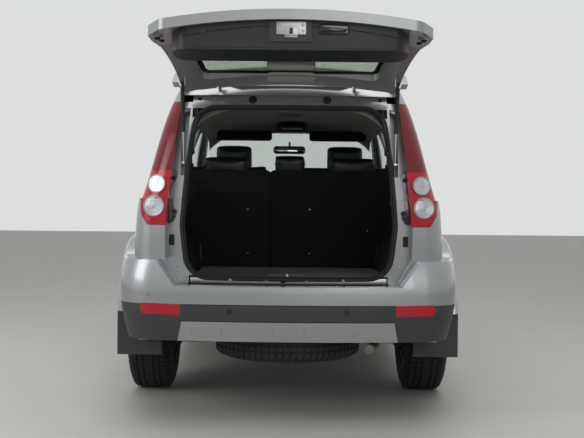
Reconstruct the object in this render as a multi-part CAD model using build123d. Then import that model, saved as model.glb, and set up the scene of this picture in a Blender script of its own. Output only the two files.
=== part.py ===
from build123d import *
import math
import os

# A five-door, body-on-frame sport utility vehicle, parked with its tailgate open.
# Stations along the car are measured from the rear axle, +Y towards the nose, then every piece is
# moved so that the origin is on the ground under the middle of the whole vehicle. +X is its right.

# Overall size
wheelbase = 2700.0
track = 1520.0
front_overhang = 865.0
rear_overhang = 1084.0
body_half_width = 864.0
flare_half_width = 905.0
roof_height = 1700.0
rail_height = 1745.0

# Wheels and tyres, 235/65 R17
tyre_width = 235.0
tyre_radius = 368.5
rim_radius = 215.9
tread_half_width = 88.0
bead_half_width = 96.0
fit_gap = 0.3
hub_bore = 25.0
spoke_count = 6
spoke_half_width = 24.0
window_near = 84.0
window_far = 184.0
lug_count = 6
lug_circle = 57.0
lug_pocket = 12.0
disc_radius = 128.0
arch_radius = 438.0
flare_width = 68.0

# Body shell
belt_z = 1075.0
sill_z = 332.0
door_bottom_z = 428.0
door_top_z = 1606.0
door_inner_x = 776.0
pillar_inner_x = 716.0
pillar_gap = 12.0
panel_gap = 8.0
frame_skin = 24.0
pillar_skin = 36.0
pillar_depth = 56.0
wall = 45.0
firewall_y = 2010.0
front_panel_end_y = 2128.0
b_pillar_y = 1010.0
c_pillar_y = 205.0
cabin_floor_z = 500.0
cargo_floor_z = 672.0
kick_up_y = 360.0
floor_plate = 16.0
roof_half_width = 545.0
hood_thickness = 24.0
hood_half_width = 690.0
glass_inset = 6.0
glass_thickness = 5.0
seat_gap = 0.3

# Tailgate
hinge_y = -748.0
hinge_z = 1642.0
open_angle = 89.0
gate_thickness = 42.0
gate_rebate = 52.0
jamb_depth = 118.0
gate_gap = 8.0
lining_plane_y = -800.0
lining_wall = 9.0
seal_notch_y = -870.5  # the seal steps back here, where the gate's lower panel ends
strut_tube_radius = 10.0
strut_rod_radius = 5.0
strut_tube_length = 236.0

front_axle_y = wheelbase


# Outlines and prisms
def outline(points, radii=0.0):
    """A closed flat outline with each corner rounded by its own radius."""
    if not isinstance(radii, (list, tuple)):
        radii = [radii] * len(points)
    return make_face(FilletPolyline(*points, radius=list(radii), close=True))


def side_prism(points, x_low, x_high, radii=0.0):
    """An outline in the side view, given as (y, z), carried from x_low to x_high."""
    return extrude(Plane.YZ.offset(x_low) * outline(points, radii), x_high - x_low)


def rear_prism(points, y_low, y_high, radii=0.0):
    """An outline in the rear view, given as (x, z), carried from y_low to y_high."""
    return extrude(Plane.XZ.offset(-y_high) * outline(points, radii), y_high - y_low)


def plan_prism(points, z_low, z_high, radii=0.0):
    """An outline in the plan view, given as (x, y), carried from z_low to z_high."""
    return extrude(Plane.XY.offset(z_low) * outline(points, radii), z_high - z_low)


def block(x_low, x_high, y_low, y_high, z_low, z_high):
    """A plain box between two corners."""
    size = (x_high - x_low, y_high - y_low, z_high - z_low)
    middle = ((x_low + x_high) / 2, (y_low + y_high) / 2, (z_low + z_high) / 2)
    return Pos(*middle) * Box(*size)


def across(radius, x_low, x_high, y, z):
    """A round bar along X."""
    bar = Cylinder(radius, x_high - x_low, rotation=(0, 90, 0))
    return Pos((x_low + x_high) / 2, y, z) * bar


def rod(start, end, radius):
    """A round bar between two points."""
    line = Vector(*end) - Vector(*start)
    base = Plane(origin=start, z_dir=line)
    return extrude(base * Circle(radius), line.length)


def tube_run(points, radius, bend):
    """A round bar along straight runs joined by arcs."""
    path = FilletPolyline(*points, radius=bend)
    return sweep(Plane(origin=points[0], z_dir=path % 0) * Circle(radius), path)


def both(half):
    """A right-hand piece and its mirror image."""
    return Compound([*half.solids(), *mirror(half, about=Plane.YZ).solids()])


def left_of(half):
    return mirror(half, about=Plane.YZ)


def fused(*pieces):
    """The pieces as one shape."""
    whole = pieces[0]
    for piece in pieces[1:]:
        whole = whole + piece
    return whole


def carved(shape, cuts):
    """A shape less each of the cuts in turn."""
    for cut in cuts:
        shape = shape - cut
    return shape


# The body's outer surface: plan sections lofted upwards, under a crowned cap
def plan_section(row, corner, front_bow, inset):
    """One plan section at a height: bowed ends, gently bowed sides and round corners."""
    z, half_width, y_front, y_rear, taper_front, taper_rear, rear_bow = row
    front_corner, rear_corner = (max(r - inset, 12.0) for r in corner)
    w = half_width - inset
    yf, yr = y_front - inset, y_rear + inset
    wf, wr = w - taper_front, w - taper_rear
    middle = (yf + yr) / 2
    a, b = (wf, yf - front_bow), (wr, yr + rear_bow)
    c, d = (-wr, yr + rear_bow), (-wf, yf - front_bow)
    edges = [
        ThreePointArc(d, (0, yf), a),
        ThreePointArc(a, (w, middle), b),
        ThreePointArc(b, (0, yr), c),
        ThreePointArc(c, (-w, middle), d),
    ]
    face = make_face(edges)
    rear_two = sorted(face.vertices(), key=lambda v: v.Y)[:2]
    face = fillet(rear_two, rear_corner)
    front_two = [v for v in face.vertices() if abs(v.Y - a[1]) < 1 and abs(abs(v.X) - wf) < 1]
    face = fillet(front_two, front_corner)
    return Pos(0, 0, z) * face


# height, half width, nose station, tail station, taper at the nose and at the tail, bow of the tail
lower_rows = [
    (sill_z - 2, 822.0, 3440.0, -900.0, 88.0, 60.0, 60.0),
    (560.0, 853.0, 3548.0, -952.0, 86.0, 84.0, 84.0),
    (760.0, body_half_width, wheelbase + front_overhang, -965.0, 84.0, 105.0, 100.0),
    (960.0, 851.0, 3528.0, -966.0, 88.0, 100.0, 100.0),
    (1110.0, 790.0, 3410.0, -955.0, 92.0, 62.0, 90.0),
]
upper_rows = [
    (1000.0, 823.0, 2257.0, -974.0, 72.0, 76.0, 96.0),
    (1300.0, 744.0, 1898.0, -918.0, 60.0, 88.0, 74.0),
    (1500.0, 686.0, 1660.0, -842.0, 52.0, 84.0, 58.0),
    (1620.0, 629.0, 1520.0, -775.0, 46.0, 72.0, 46.0),
    (1725.0, 548.0, 1400.0, -700.0, 40.0, 48.0, 38.0),
]
bumper_rows = [
    (400.0, 822.0, 0.0, 34.0 - rear_overhang, 0.0, 70.0, 62.0),
    (520.0, 850.0, 0.0, 8.0 - rear_overhang, 0.0, 72.0, 62.0),
    (620.0, 862.0, 0.0, -rear_overhang, 0.0, 74.0, 62.0),
    (720.0, 858.0, 0.0, 10.0 - rear_overhang, 0.0, 76.0, 62.0),
    (800.0, 846.0, 0.0, 34.0 - rear_overhang, 0.0, 80.0, 62.0),
]
# station and crown height of the roof and of the hood
roof_rows = [(-980.0, 1612.0), (-300.0, 1682.0), (600.0, roof_height), (1600.0, 1668.0), (2300.0, 1560.0)]
hood_rows = [(1900.0, 1094.0), (2700.0, 1062.0), (3300.0, 988.0), (3600.0, 905.0)]


def hood_solid(lowered):
    """A crowned solid whose top carries the hood."""
    faces = []
    for y, top in hood_rows:
        x, z = 880.0 - lowered, top - lowered
        sides = Polyline((x, z - 62), (x, 200), (-x, 200), (-x, z - 62))
        face = make_face([sides, ThreePointArc((-x, z - 62), (0, z), (x, z - 62))])
        face = fillet(sorted(face.vertices(), key=lambda v: v.Y)[-2:], 95)
        faces.append(Plane.XZ.offset(-y) * face)
    return loft(faces)


def roof_solid(lowered):
    """A crowned solid whose top carries the roof, with rounded shoulders."""
    faces = []
    for y, top in roof_rows:
        z = top - lowered
        crown = ThreePointArc((-540, z - 25), (0, z), (540, z - 25))
        right = ThreePointArc((540, z - 25), (612, z - 51), (655, z - 110))
        left = ThreePointArc((-655, z - 110), (-612, z - 51), (-540, z - 25))
        low = z - 110
        sides = Polyline((655, low), (1000, low), (1000, 200), (-1000, 200), (-1000, low), (-655, low))
        faces.append(Plane.XZ.offset(-y) * make_face([left, crown, right, sides]))
    return loft(faces)


def lower_loft(inset):
    return loft([plan_section(row, (250.0, 115.0), 120.0, inset) for row in lower_rows])


def upper_loft(inset):
    return loft([plan_section(row, (85.0, 112.0), 110.0, inset) for row in upper_rows])


def bumper_loft(inset):
    return loft([plan_section(row, (20.0, 190.0), 0.5, inset) for row in bumper_rows])


roof_cap = roof_solid(0.0)
hood_cap = hood_solid(0.0)
hood_core = hood_solid(hood_thickness)
cabin_zone = block(-1000, 1000, -1300, front_panel_end_y, sill_z, belt_z)
above_belt = block(-1000, 1000, -1300, 2400, belt_z, 1800)
low_skin = lower_loft(0)
upper_skin = upper_loft(0) & above_belt
top_skin = upper_skin & roof_cap
front_skin = low_skin & hood_cap & block(-1000, 1000, front_panel_end_y + 3, 3700, sill_z, 1200)


def top_core(depth):
    """What lies inside the greenhouse skin at a depth, both from its sides and its roof."""
    return upper_loft(depth) & (Pos(0, 0, -depth) * roof_cap)


def top_layer(near, far):
    return (top_cores[near] & above_belt) - top_cores[far]


top_cores = {depth: top_core(depth) for depth in (glass_inset, frame_skin, pillar_skin, pillar_depth)}
top_cores[glass_inset + glass_thickness] = top_core(glass_inset + glass_thickness)
top_cores[0] = top_skin
tail_zone = block(-1000, 1000, -1300, -450, 600, 1700)
tail_skin = ((low_skin & cabin_zone) + upper_skin) & tail_zone


def tail_core(depth):
    """What lies ahead of the tail's face at a depth measured along the car."""
    return Pos(0, depth, 0) * tail_skin


# Side view outlines
door_rear_y = b_pillar_y + panel_gap / 2
door_front_y = front_panel_end_y - panel_gap
front_door_outline = [
    (door_rear_y, door_bottom_z),
    (door_front_y, door_bottom_z),
    (door_front_y, belt_z - 4),
    (1996.0, belt_z + 8),
    (1345.0, door_top_z),
    (door_rear_y, door_top_z),
]
front_door_radii = [40, 55, 30, 60, 45, 12]
rear_door_outline = [
    (b_pillar_y - panel_gap / 2, door_bottom_z),
    (b_pillar_y - panel_gap / 2, door_top_z),
    (305.0, door_top_z - 8),
    (c_pillar_y, belt_z + 5),
    (c_pillar_y, door_bottom_z),
]
rear_door_radii = [40, 12, 55, 40, 1]
front_window = [(1075.0, 1108.0), (1915.0, 1096.0), (1390.0, 1556.0), (1075.0, 1560.0)]
rear_window = [(945.0, 1110.0), (945.0, 1560.0), (365.0, 1552.0), (275.0, 1116.0)]
quarter_window = [(120.0, 1124.0), (215.0, 1545.0), (-490.0, 1500.0), (-610.0, 1140.0)]
windshield_outline = [(-684, 1080), (684, 1080), (574, 1598), (-574, 1598)]
window_radius = 38.0
gate_outline = [
    (530, 676), (592, 786), (594, 950), (532, 1545), (512, 1632),
    (-512, 1632), (-532, 1545), (-594, 950), (-592, 786), (-530, 676),
]
gate_radii = [50, 60, 60, 60, 20, 20, 60, 60, 60, 50]
gate_window = [(478, 1118), (428, 1522), (-428, 1522), (-478, 1118)]
opening_outline = [
    (488, 690), (518, 940), (496, 1230), (462, 1528), (-462, 1528), (-496, 1230), (-518, 940), (-488, 690),
]
opening_radii = [115, 300, 300, 105, 105, 300, 300, 115]
lamp_side = [(-1100, 946), (-868, 946), (-760, 1060), (-694, 1220), (-668, 1400), (-650, 1556), (-1100, 1556)]
lamp_rear = [(601, 946), (690, 948), (722, 1000), (729, 1110), (900, 1200), (900, 1556), (539, 1556)]
bumper_top = [(0, 663), (540, 663), (627, 782), (1000, 782), (1000, 300), (0, 300)]


def side_cut(points, grow, x_low, x_high, radius=0.0):
    """A side view outline grown by an amount and carried across."""
    face = outline(points, radius)
    if grow:
        face = offset(face, grow, kind=Kind.INTERSECTION)
    return extrude(Plane.YZ.offset(x_low) * face, x_high - x_low)


def rear_cut(points, grow, y_low, y_high, radius=0.0):
    """A rear view outline grown by an amount and carried along the car."""
    face = outline(points, radius)
    if grow:
        face = offset(face, grow, kind=Kind.INTERSECTION)
    return extrude(Plane.XZ.offset(-y_high) * face, y_high - y_low)


def arch_cut(y, radius, x_low):
    return across(radius, x_low, 1200.0, y, tyre_radius)


# Doors, with two leaf hinges each
hinge_inset = 30.0
leaf_z = (520.0, 900.0)
leaf_height = 44.0


def hinge_axis(edge_y, skin_x):
    return (skin_x - 14.0, edge_y - hinge_inset)


front_hinge = hinge_axis(door_front_y, 850.0)
rear_hinge = hinge_axis(b_pillar_y - panel_gap / 2, 860.0)


def hinge_leaves(axis):
    """The pillar's half of the hinges: a leaf and a pin at each of two heights."""
    x, y = axis
    pieces = []
    for z in leaf_z:
        leaf = block(pillar_inner_x + 40, x, y - 8, y + 8, z, z + leaf_height)
        leaf = leaf + Pos(x, y, z + leaf_height / 2) * Cylinder(8, leaf_height)
        pin = Pos(x, y, z + leaf_height / 2) * Cylinder(4.5, leaf_height + 28)
        pieces.append(leaf + pin)
    return pieces


def hinge_pockets(axis, edge_y):
    """The door's half: the corner is cut away round each leaf, and bored for its pin."""
    x, y = axis
    pieces = []
    for z in leaf_z:
        pieces.append(block(door_inner_x - 20, x + 9, y - 14, edge_y + 20, z - 4, z + leaf_height + 4))
        pieces.append(Pos(x, y, z + leaf_height / 2) * Cylinder(4.8, leaf_height + 34))
    return pieces


def door_solid(points, radii, window):
    """A whole door: a thick panel under the belt and a window frame above it."""
    panel = side_cut(points, 0, 300, 1100, radii)
    lower = low_skin & (panel & block(door_inner_x, 1000, -1200, 2400, sill_z, belt_z))
    frame = top_layer(0, frame_skin) & (panel & block(300, 1000, -1200, 1996, belt_z, 1800))
    return (lower + frame) - side_cut(window, 0, 300, 1100, window_radius)


def door_handle(y):
    """A pull handle that stands on two feet off the door skin."""
    z = 985.0
    bar = side_prism([(y - 95, z - 13), (y + 95, z - 13), (y + 95, z + 13), (y - 95, z + 13)], 866, 880, 11)
    feet = [block(830, 867, y + s * 76 - 14, y + s * 76 + 14, z - 10, z + 10) for s in (-1, 1)]
    return [bar, *feet]


def mirror_housing():
    """A door mirror: a shell open to the rear on a short foot."""
    face = [(812.0, 1092.0), (1022.0, 1106.0), (1030.0, 1226.0), (838.0, 1240.0)]
    inner_face = [(828.0, 1106.0), (1008.0, 1118.0), (1015.0, 1214.0), (850.0, 1226.0)]
    shell = rear_prism(face, 1838, 1960, 34) & (Pos(925, 1826, 1166) * Sphere(160))
    foot = rear_prism([(782.0, 1044.0), (842.0, 1050.0), (884.0, 1114.0), (824.0, 1114.0)], 1866, 1930, 8)
    return (shell - rear_prism(inner_face, 1800, 1862, 26)) + foot


def front_door():
    door = door_solid(front_door_outline, front_door_radii, front_window)
    door = door - hinge_pockets(front_hinge, door_front_y)
    return door + [mirror_housing(), *door_handle(b_pillar_y + 130)]


def rear_door():
    door = door_solid(rear_door_outline, rear_door_radii, rear_window)
    clear_arch = arch_cut(0, arch_radius + flare_width + panel_gap, 300)
    door = door - [clear_arch, *hinge_pockets(rear_hinge, b_pillar_y)]
    return door + door_handle(c_pillar_y + 150)


def window_glass(points):
    return glass_layer & side_cut(points, -seat_gap, 300, 1100, window_radius)


# Body side: pillars, sill, quarter panel and tail corner as one pressing
def flare(y):
    """A wheel arch flare: a lip revolved about the axle line."""
    inner, outer_r = arch_radius, arch_radius + flare_width
    x = flare_half_width
    sides = Polyline((x - 22, outer_r), (770, outer_r), (770, inner), (x, inner), (x, inner + 18))
    edge = ThreePointArc((x, inner + 18), (x - 4, inner + 42), (x - 22, outer_r))
    ring = Pos(0, y, tyre_radius) * revolve(Plane.XY * make_face([sides, edge]), Axis.X)
    return ring & block(700, 1000, y - 600, y + 600, sill_z + 58, 1000)


def gate_clearance():
    """The rebate that the tailgate closes into: deep, shallower along its top edge, and swept."""
    deep = gate_clearance_low & block(-700, 700, -1300, 0, 600, lip_z)
    sweep_room = across(lip_sweep, -525, 525, hinge_y, hinge_z)
    sweep_room = sweep_room & block(-600, 600, -1300, hinge_y - 1, 1500, 1800)
    return [deep, rear_cut(gate_outline, gate_gap, -1300, 0) - tail_core(lip_rebate), sweep_room]


jack_stations = (560.0, 2060.0)
lip_z = 1594.0
lip_rebate = 24.0
lip_thickness = 15.0
lip_sweep = 33.0  # how far the gate's upper lip reaches from the hinge line
strut_channel = [(510, 1188), (535, 1188), (535, 1528), (496, 1528)]


def body_side():
    door_band = low_skin & block(door_inner_x - pillar_gap, 1000, -1200, front_panel_end_y, sill_z, belt_z)
    inner_band = block(pillar_inner_x, door_inner_x - pillar_gap, -820, front_panel_end_y, sill_z, belt_z)
    right = block(0, 1100, -1300, 2400, 0, 1800)
    upper = top_layer(0, pillar_depth) & right
    tail = ((tail_skin & roof_cap) - tail_core(jamb_depth)) & block(0, 1100, -1300, -560, 664, 1800)
    side = door_band + [inner_band & low_skin, upper, tail]
    rebate_zone = block(door_inner_x - pillar_gap, 1000, -1200, 2400, sill_z, belt_z) + rebate_layer
    rebates = side_cut(front_door_outline, panel_gap, 300, 1100)
    rebates = rebates + side_cut(rear_door_outline, panel_gap, 300, 1100)
    cuts = [
        rebates & rebate_zone,
        side_cut(front_door_outline, -34, 300, 1100),
        side_cut(rear_door_outline, -34, 300, 1100),
        side_cut(quarter_window, 0, 300, 1100, window_radius),
        *gate_room,
        rear_cut(opening_outline, 0, -1300, 200, opening_radii),
        rear_cut(windshield_outline, 0, 1100, 2400, 55),
        lamp_pocket,
        arch_cut(0, arch_radius, 300),
        arch_cut(front_axle_y, arch_radius, 300),
        block(-1, roof_half_width, -860, 2400, 1560, 1800),
        block(-1, 486, -1300, -560, 1480, 1700),
        block(-1, 486, -1300, -560, 500, 700),
        block(-1, 686, 1900, 2400, 1000, 1100),
        block(0, 1000, -1300, -flap_y - 60, 0, 664),
        rear_cut(bumper_top, 0.4, -1300, -flap_y - 60),
        block(600, 1000, -flap_y - 8.3, -400, 0, 480),
        rear_prism(strut_channel, -1300, -690) - tail_core(jamb_depth - 16),
    ]
    side = carved(side, cuts)
    lips = flare(0) - block(0, 1000, -1300, -400, 0, 480) - rear_cut(bumper_top, 0.4, -1300, -flap_y - 60)
    pads = [block(730, 790, y - 40, y + 40, 320, 336) for y in jack_stations]
    return side + [lips, *hinge_leaves(front_hinge), *hinge_leaves(rear_hinge), strut_lug(), *pads]


def roof_panel():
    """The roof skin with its rear header, between the two body sides."""
    middle = block(-roof_half_width, roof_half_width, -860, 2400, 1560, 1800)
    skin = (top_skin - top_cores[frame_skin]) & middle
    header = (top_skin & block(-486, 486, -860, -640, 1528, 1700)) - tail_core(jamb_depth)
    above = block(-1000, 1000, -300, 2400, 1598, 1800) + block(-1000, 1000, -900, 1000, 1560, 1800)
    return carved((skin & above) + header, gate_room)


def hinge_lugs():
    """The gate hinges' fixed ears and pins, on the roof's rear edge."""
    pieces = []
    for side in (-1, 1):
        x = side * gate_hinge_x
        ear = block(x - 22, x - 8, hinge_y, hinge_y + 34, hinge_z - 16, hinge_z + 5)
        ear = ear + across(7, x - 22, x - 8, hinge_y, hinge_z)
        pieces.append(ear + across(3.5, x - 22, x + 20, hinge_y, hinge_z))
    return pieces


gate_hinge_x = 337.0


# Tailgate, modelled closed and then swung open about its hinge line
def tailgate():
    body = rear_cut(gate_outline, 0, -1300, -500, gate_radii) & tail_skin & roof_cap
    deep = (body & block(-700, 700, -1300, -500, 600, lip_z - 8)) - tail_core(gate_thickness)
    lip = (body & block(-700, 700, -1300, -500, lip_z - 9, 1700)) - tail_core(lip_thickness)
    gate = (deep + lip) - rear_cut(gate_window, 0, -1300, -500, 50)
    ears, notches = [], []
    for side in (-1, 1):
        x = side * gate_hinge_x
        ear = block(x - 7, x + 7, hinge_y - 12, hinge_y, hinge_z - 18, hinge_z)
        ear = ear + across(7, x - 7, x + 7, hinge_y, hinge_z)
        ears.append(ear - across(3.8, x - 20, x + 20, hinge_y, hinge_z))
        notches.append(block(x - 28, x - 7.1, hinge_y - 10, hinge_y + 60, hinge_z - 25, hinge_z + 40))
    return (gate - notches) + ears


def gate_lining():
    """The deep lining under the gate's window: a hollow tray with a flat inner face."""
    points = [
        (455, 712), (492, 800), (500, 950), (478, 1086),
        (-478, 1086), (-500, 950), (-492, 800), (-455, 712),
    ]
    tray = rear_cut(points, 0, -1300, lining_plane_y, 50) & tail_core(gate_thickness)
    return tray - rear_cut(points, -lining_wall, -1300, lining_plane_y - lining_wall, 38)


def gate_glass():
    shape = rear_cut(gate_window, -seat_gap, -1300, -500, 50)
    return (shape & tail_core(8)) - tail_core(13)


def gate_seal():
    shape = rear_cut(opening_outline, 12, -1300, 0) - rear_cut(opening_outline, 1, -1300, 0, opening_radii)
    seal = (shape & tail_core(gate_thickness + 1.5)) - tail_core(gate_rebate)
    notch = block(-700, 700, -1300, seal_notch_y, belt_z - 2, belt_z + 2)
    return (seal & block(-700, 700, -1300, 0, 600, 1590)) - notch


def open_gate(piece):
    turned = Pos(0, -hinge_y, -hinge_z) * piece
    turned = Rot(-open_angle, 0, 0) * turned
    return Pos(0, hinge_y, hinge_z) * turned


def turned_point(y, z):
    """Where a point of the closed gate lies with the gate open."""
    a = math.radians(-open_angle)
    dy, dz = y - hinge_y, z - hinge_z
    return (hinge_y + dy * math.cos(a) - dz * math.sin(a), hinge_z + dy * math.sin(a) + dz * math.cos(a))


strut_gate_closed = (-741.0, 1490.0)
strut_gate_open = turned_point(*strut_gate_closed)
strut_body = (-817.0, 1250.0)
strut_x = 522.0


def strut_lug():
    """The ball stud on the body, beside the rod's eye."""
    y, z = strut_body
    return across(6, strut_x + 4.4, strut_channel[1][0] + 12, y, z)


def gate_strut_bracket():
    """The bracket inside the gate that the cylinder's eye turns on."""
    y, z = strut_gate_closed
    foot = block(strut_x - 16, strut_x - 10, y - 40, y + 8, z - 14, z + 14)
    pin = across(4.5, strut_x - 12, strut_x + 9, y, z)
    return foot + pin


def strut_line(start, end, distance):
    """A point on the line from one strut end towards the other."""
    length = math.dist(start, end)
    return tuple(a + (b - a) * distance / length for a, b in zip(start, end))


def strut_cylinder():
    g, e = strut_gate_open, strut_body
    mouth = strut_line(g, e, strut_tube_length)
    tube = rod((strut_x, *strut_line(g, e, 14)), (strut_x, *mouth), strut_tube_radius)
    neck = rod((strut_x, *strut_line(g, e, 4)), (strut_x, *strut_line(g, e, 16)), 6)
    eye = across(10, strut_x - 7, strut_x + 7, *g)
    deep, past = strut_line(g, e, 24), strut_line(g, e, strut_tube_length + 5)
    bore = rod((strut_x, *deep), (strut_x, *past), strut_rod_radius + 0.1)
    return ((tube + neck + eye) - across(4.8, strut_x - 20, strut_x + 20, *g)) - bore


def strut_rod():
    g, e = strut_gate_open, strut_body
    near, far = strut_line(e, g, 7.2), strut_line(e, g, strut_rod_length)
    shaft = rod((strut_x, *near), (strut_x, *far), strut_rod_radius)
    return shaft + across(8, strut_x - 4, strut_x + 4, *e)


strut_rod_length = 226.0


# Lamps, bumpers, grille
def lamp_shell(grow, depth):
    region = side_cut(lamp_side, grow, 300, 1100) & rear_cut(lamp_rear, grow, -1300, -500)
    region = region & block(300, 1100, -1300, -500, 940, 1562)
    return (region & tail_skin) - lamp_cores[depth]


def lamp_core(depth):
    low = lower_loft(depth) & block(-1000, 1000, -1300, 0, 600, belt_z)
    return low + (upper_loft(depth) & above_belt)


def nose_layer(depth, zone):
    """A shell of the car's nose between the skin and a depth."""
    return (front_skin & zone) - nose_cores[depth]


nose_cores = {depth: lower_loft(depth) for depth in (wall, 70.0)}


def front_fender():
    """The wing beside the hood, down to the sill, with its flare and wheel arch liner."""
    zone = block(hood_half_width + 3, 1000, front_panel_end_y + 3, 3600, sill_z, 1200)
    wing = front_skin & zone
    core = nose_cores[wall] & hood_core & block(0, 1000, 2190, 3600, 300, 1200)
    wing = wing - core
    bumper_zone = [block(0, 1000, 3206, 3700, 200, 704), block(0, 1000, 3290, 3700, 703, 883)]
    arch = arch_cut(front_axle_y, arch_radius, 300)
    apron = block(hood_half_width + 3, hood_half_width + 9, 2200, 3280, 760, 1010) & hood_core
    liner = across(arch_radius + 8, 500, 815, front_axle_y, tyre_radius)
    liner = liner & block(400, 830, 2190, 3204, 520, 1200)
    return (((wing + flare(front_axle_y)) - bumper_zone) + [liner, apron]) - arch


def front_bumper():
    zone = block(-1000, 1000, 3206.4, 3700, sill_z, 703.6)
    cover = nose_layer(wall, zone)
    intake = rear_prism([(-400, 380), (400, 380), (360, 500), (-360, 500)], 3000, 3700, 30)
    fog = rear_prism([(500, 430), (640, 430), (640, 520), (520, 520)], 3000, 3700, 20)
    arch = arch_cut(front_axle_y, arch_radius + flare_width + 1, 300)
    pad = block(-135, 135, 3520, front_axle_y + front_overhang - 4, 575, 665)
    screws = [Pos(x, 3552, 620) * Cylinder(3, 60, rotation=(90, 0, 0)) for x in (-100, 100)]
    return (cover - [intake, fog, left_of(fog), arch, left_of(arch)]) + pad - screws


def grille():
    zone = block(-402, 402, 3200, 3700, 704, 879)
    frame = nose_layer(wall, zone)
    slots = []
    for z in (722, 766, 810):
        slot = rear_prism([(-370, z), (370, z), (370, z + 30), (-370, z + 30)], 3000, 3700, 8)
        slots.append(slot - lower_loft(30.0))
    return frame - slots


def headlamp():
    zone = block(402.4, 1000, 3290.4, 3700, 704, 882.6)
    return nose_layer(70.0, zone)


def hood():
    rear_arc = ThreePointArc((-hood_half_width, 2160), (0, 2240), (hood_half_width, 2160))
    x = hood_half_width
    sides = Polyline((x, 2160), (x, 3700), (-x, 3700), (-x, 2160))
    plan = extrude(make_face([rear_arc, sides]), 1200)
    skin = low_skin & hood_cap & plan & block(-1000, 1000, 2000, 3700, 883, 1200)
    core = lower_loft(hood_thickness) & hood_core
    lid = skin - core
    lugs = []
    for side in (-1, 1):
        x = side * 640
        lug = block(x - 8, x + 8, hood_hinge_y - 9, hood_hinge_y + 60, hood_hinge_z - 9, hood_hinge_z + 40)
        lug = (lug & hood_cap & low_skin) + across(9, x - 8, x + 8, hood_hinge_y, hood_hinge_z)
        lugs.append(lug - across(4.8, x - 30, x + 30, hood_hinge_y, hood_hinge_z))
    bores = [across(10, x - 30, x + 30, hood_hinge_y, hood_hinge_z) for x in (-640, 640)]
    return (lid - bores) + lugs


hood_hinge_y = 2176.0
hood_hinge_z = 1014.0


def cowl():
    """The panel between the hood and the windscreen, with the hood's hinge pins."""
    plate = block(-690, 690, firewall_y - 16, 2150, 992, 1008) + block(-590, 590, 2100, 2228, 992, 1008)
    step = upper_loft(0) & block(-660, 660, 1990, 2146, 1007, 1079.7)
    pieces = [step - upper_loft(60)]
    for side in (-1, 1):
        low, high = sorted((side * 626, side * 664))
        pieces.append(across(4.5, low, high, hood_hinge_y, hood_hinge_z))
        low, high = sorted((side * 652, side * 662))
        pieces.append(block(low, high, 2140, hood_hinge_y + 6, hood_hinge_z - 22, hood_hinge_z - 8))
        upright = block(low, high, hood_hinge_y - 6, hood_hinge_y + 6, hood_hinge_z - 9, hood_hinge_z + 5)
        pieces.append(upright)
    return fused(plate, *pieces)


def rear_bumper():
    top = rear_cut([(-x, z) for x, z in bumper_top[1:5]][::-1] + bumper_top[1:5], 0, -1300, -flap_y - 60.6)
    shell = bumper_solid & top
    lowered = [(x, z - 24) for x, z in bumper_top]
    inner = bumper_inner & rear_cut([(-x, z) for x, z in lowered[1:5]][::-1] + lowered[1:5], 0, -1300, 0)
    middle = block(-pillar_inner_x - 0.5, pillar_inner_x + 0.5, -866, 0, 300, 800)
    return (shell - inner) - [*trim_grooves, left_of(trim_grooves[2]), middle]


flap_y = 439.0
bumper_solid = bumper_loft(0)
bumper_inner = bumper_loft(wall)
bumper_recess = bumper_loft(10)
bumper_liner = bumper_loft(9.7)
skid_outline = [(-527, 380), (527, 380), (503, 494), (-503, 494)]


def bumper_groove(outline_points, grow):
    return rear_cut(outline_points, grow, -1300, -700) - bumper_recess


trim_outline = [(-503, 499), (503, 499), (500, 572), (-500, 572)]
reflector_outline = [(508, 524), (688, 528), (704, 552), (690, 580), (508, 576)]
trim_grooves = [bumper_groove(points, 0) for points in (trim_outline, skid_outline, reflector_outline)]


def bumper_insert(points):
    return (bumper_solid & rear_cut(points, -0.3, -1300, -700)) - bumper_liner


def mud_flap():
    return block(668, flare_half_width, -flap_y - 8, -flap_y, 246, 478)


# Floor, frame and running gear
def frame_rail():
    """The right rail of the ladder frame, which rises over the rear axle, with its damper towers."""
    side = [
        (-905, 520), (-905, 636), (-520, 636), (-420, 652), (160, 652), (320, 480), (3340, 480),
        (3340, 360), (280, 360), (110, 540), (-420, 540), (-520, 520),
    ]
    rail = side_prism(side, rail_inner_x, rail_outer_x)
    front_tower = [block(392, 428, 2660, 2740, 478, 780), block(392, 600, 2660, 2740, 760, 780)]
    spring_seat = block(428, 600, 20, 100, 560, 580)
    return fused(rail, *front_tower, spring_seat)


rail_inner_x, rail_outer_x = 350.0, 430.0
tank_member_y = 1080.0
# the cross members: station behind and ahead, height below and above
member_rows = [
    (-905, -845, 540, 620), (-300, -230, 560, 640), (-50, 50, 560, 640),
    (tank_member_y, tank_member_y + 80, 370, 470),
    (1930, 2010, 370, 470), (2440, 2560, 370, 440), (3200, 3260, 370, 470),
]


def cross_members():
    """What joins and hangs from the rails: cross members, end beams and suspension brackets."""
    x = rail_inner_x - seat_gap
    members = [block(-x, x, *row) for row in member_rows]
    beam = block(-430, 430, 3340 + seat_gap, 3370, 400, 540)
    socket = Pos(300, 3415, 440) * Cylinder(18, 90, rotation=(90, 0, 0))
    socket = socket - Pos(300, 3415, 440) * Cylinder(10, 90, rotation=(90, 0, 0))
    rear_beam = block(-600, 600, -965, -905 - seat_gap, 526, 600)
    under, beside = 360 - seat_gap, rail_outer_x + seat_gap
    arm_bracket = block(300, 470, 2620, 2780, 300, under) + block(beside, 470, 2620, 2780, under - 1, 400)
    axle_bracket = block(300, 430, -70, 70, 270, 330)
    axle_bracket = axle_bracket + [block(386, 430, y - 21, y + 21, 328, 540 - seat_gap) for y in (-49, 49)]
    brackets = both(Compound([*arm_bracket.solids(), *axle_bracket.solids()]))
    return Compound([*members, *fused(beam, socket).solids(), rear_beam, *brackets.solids()])


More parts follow.
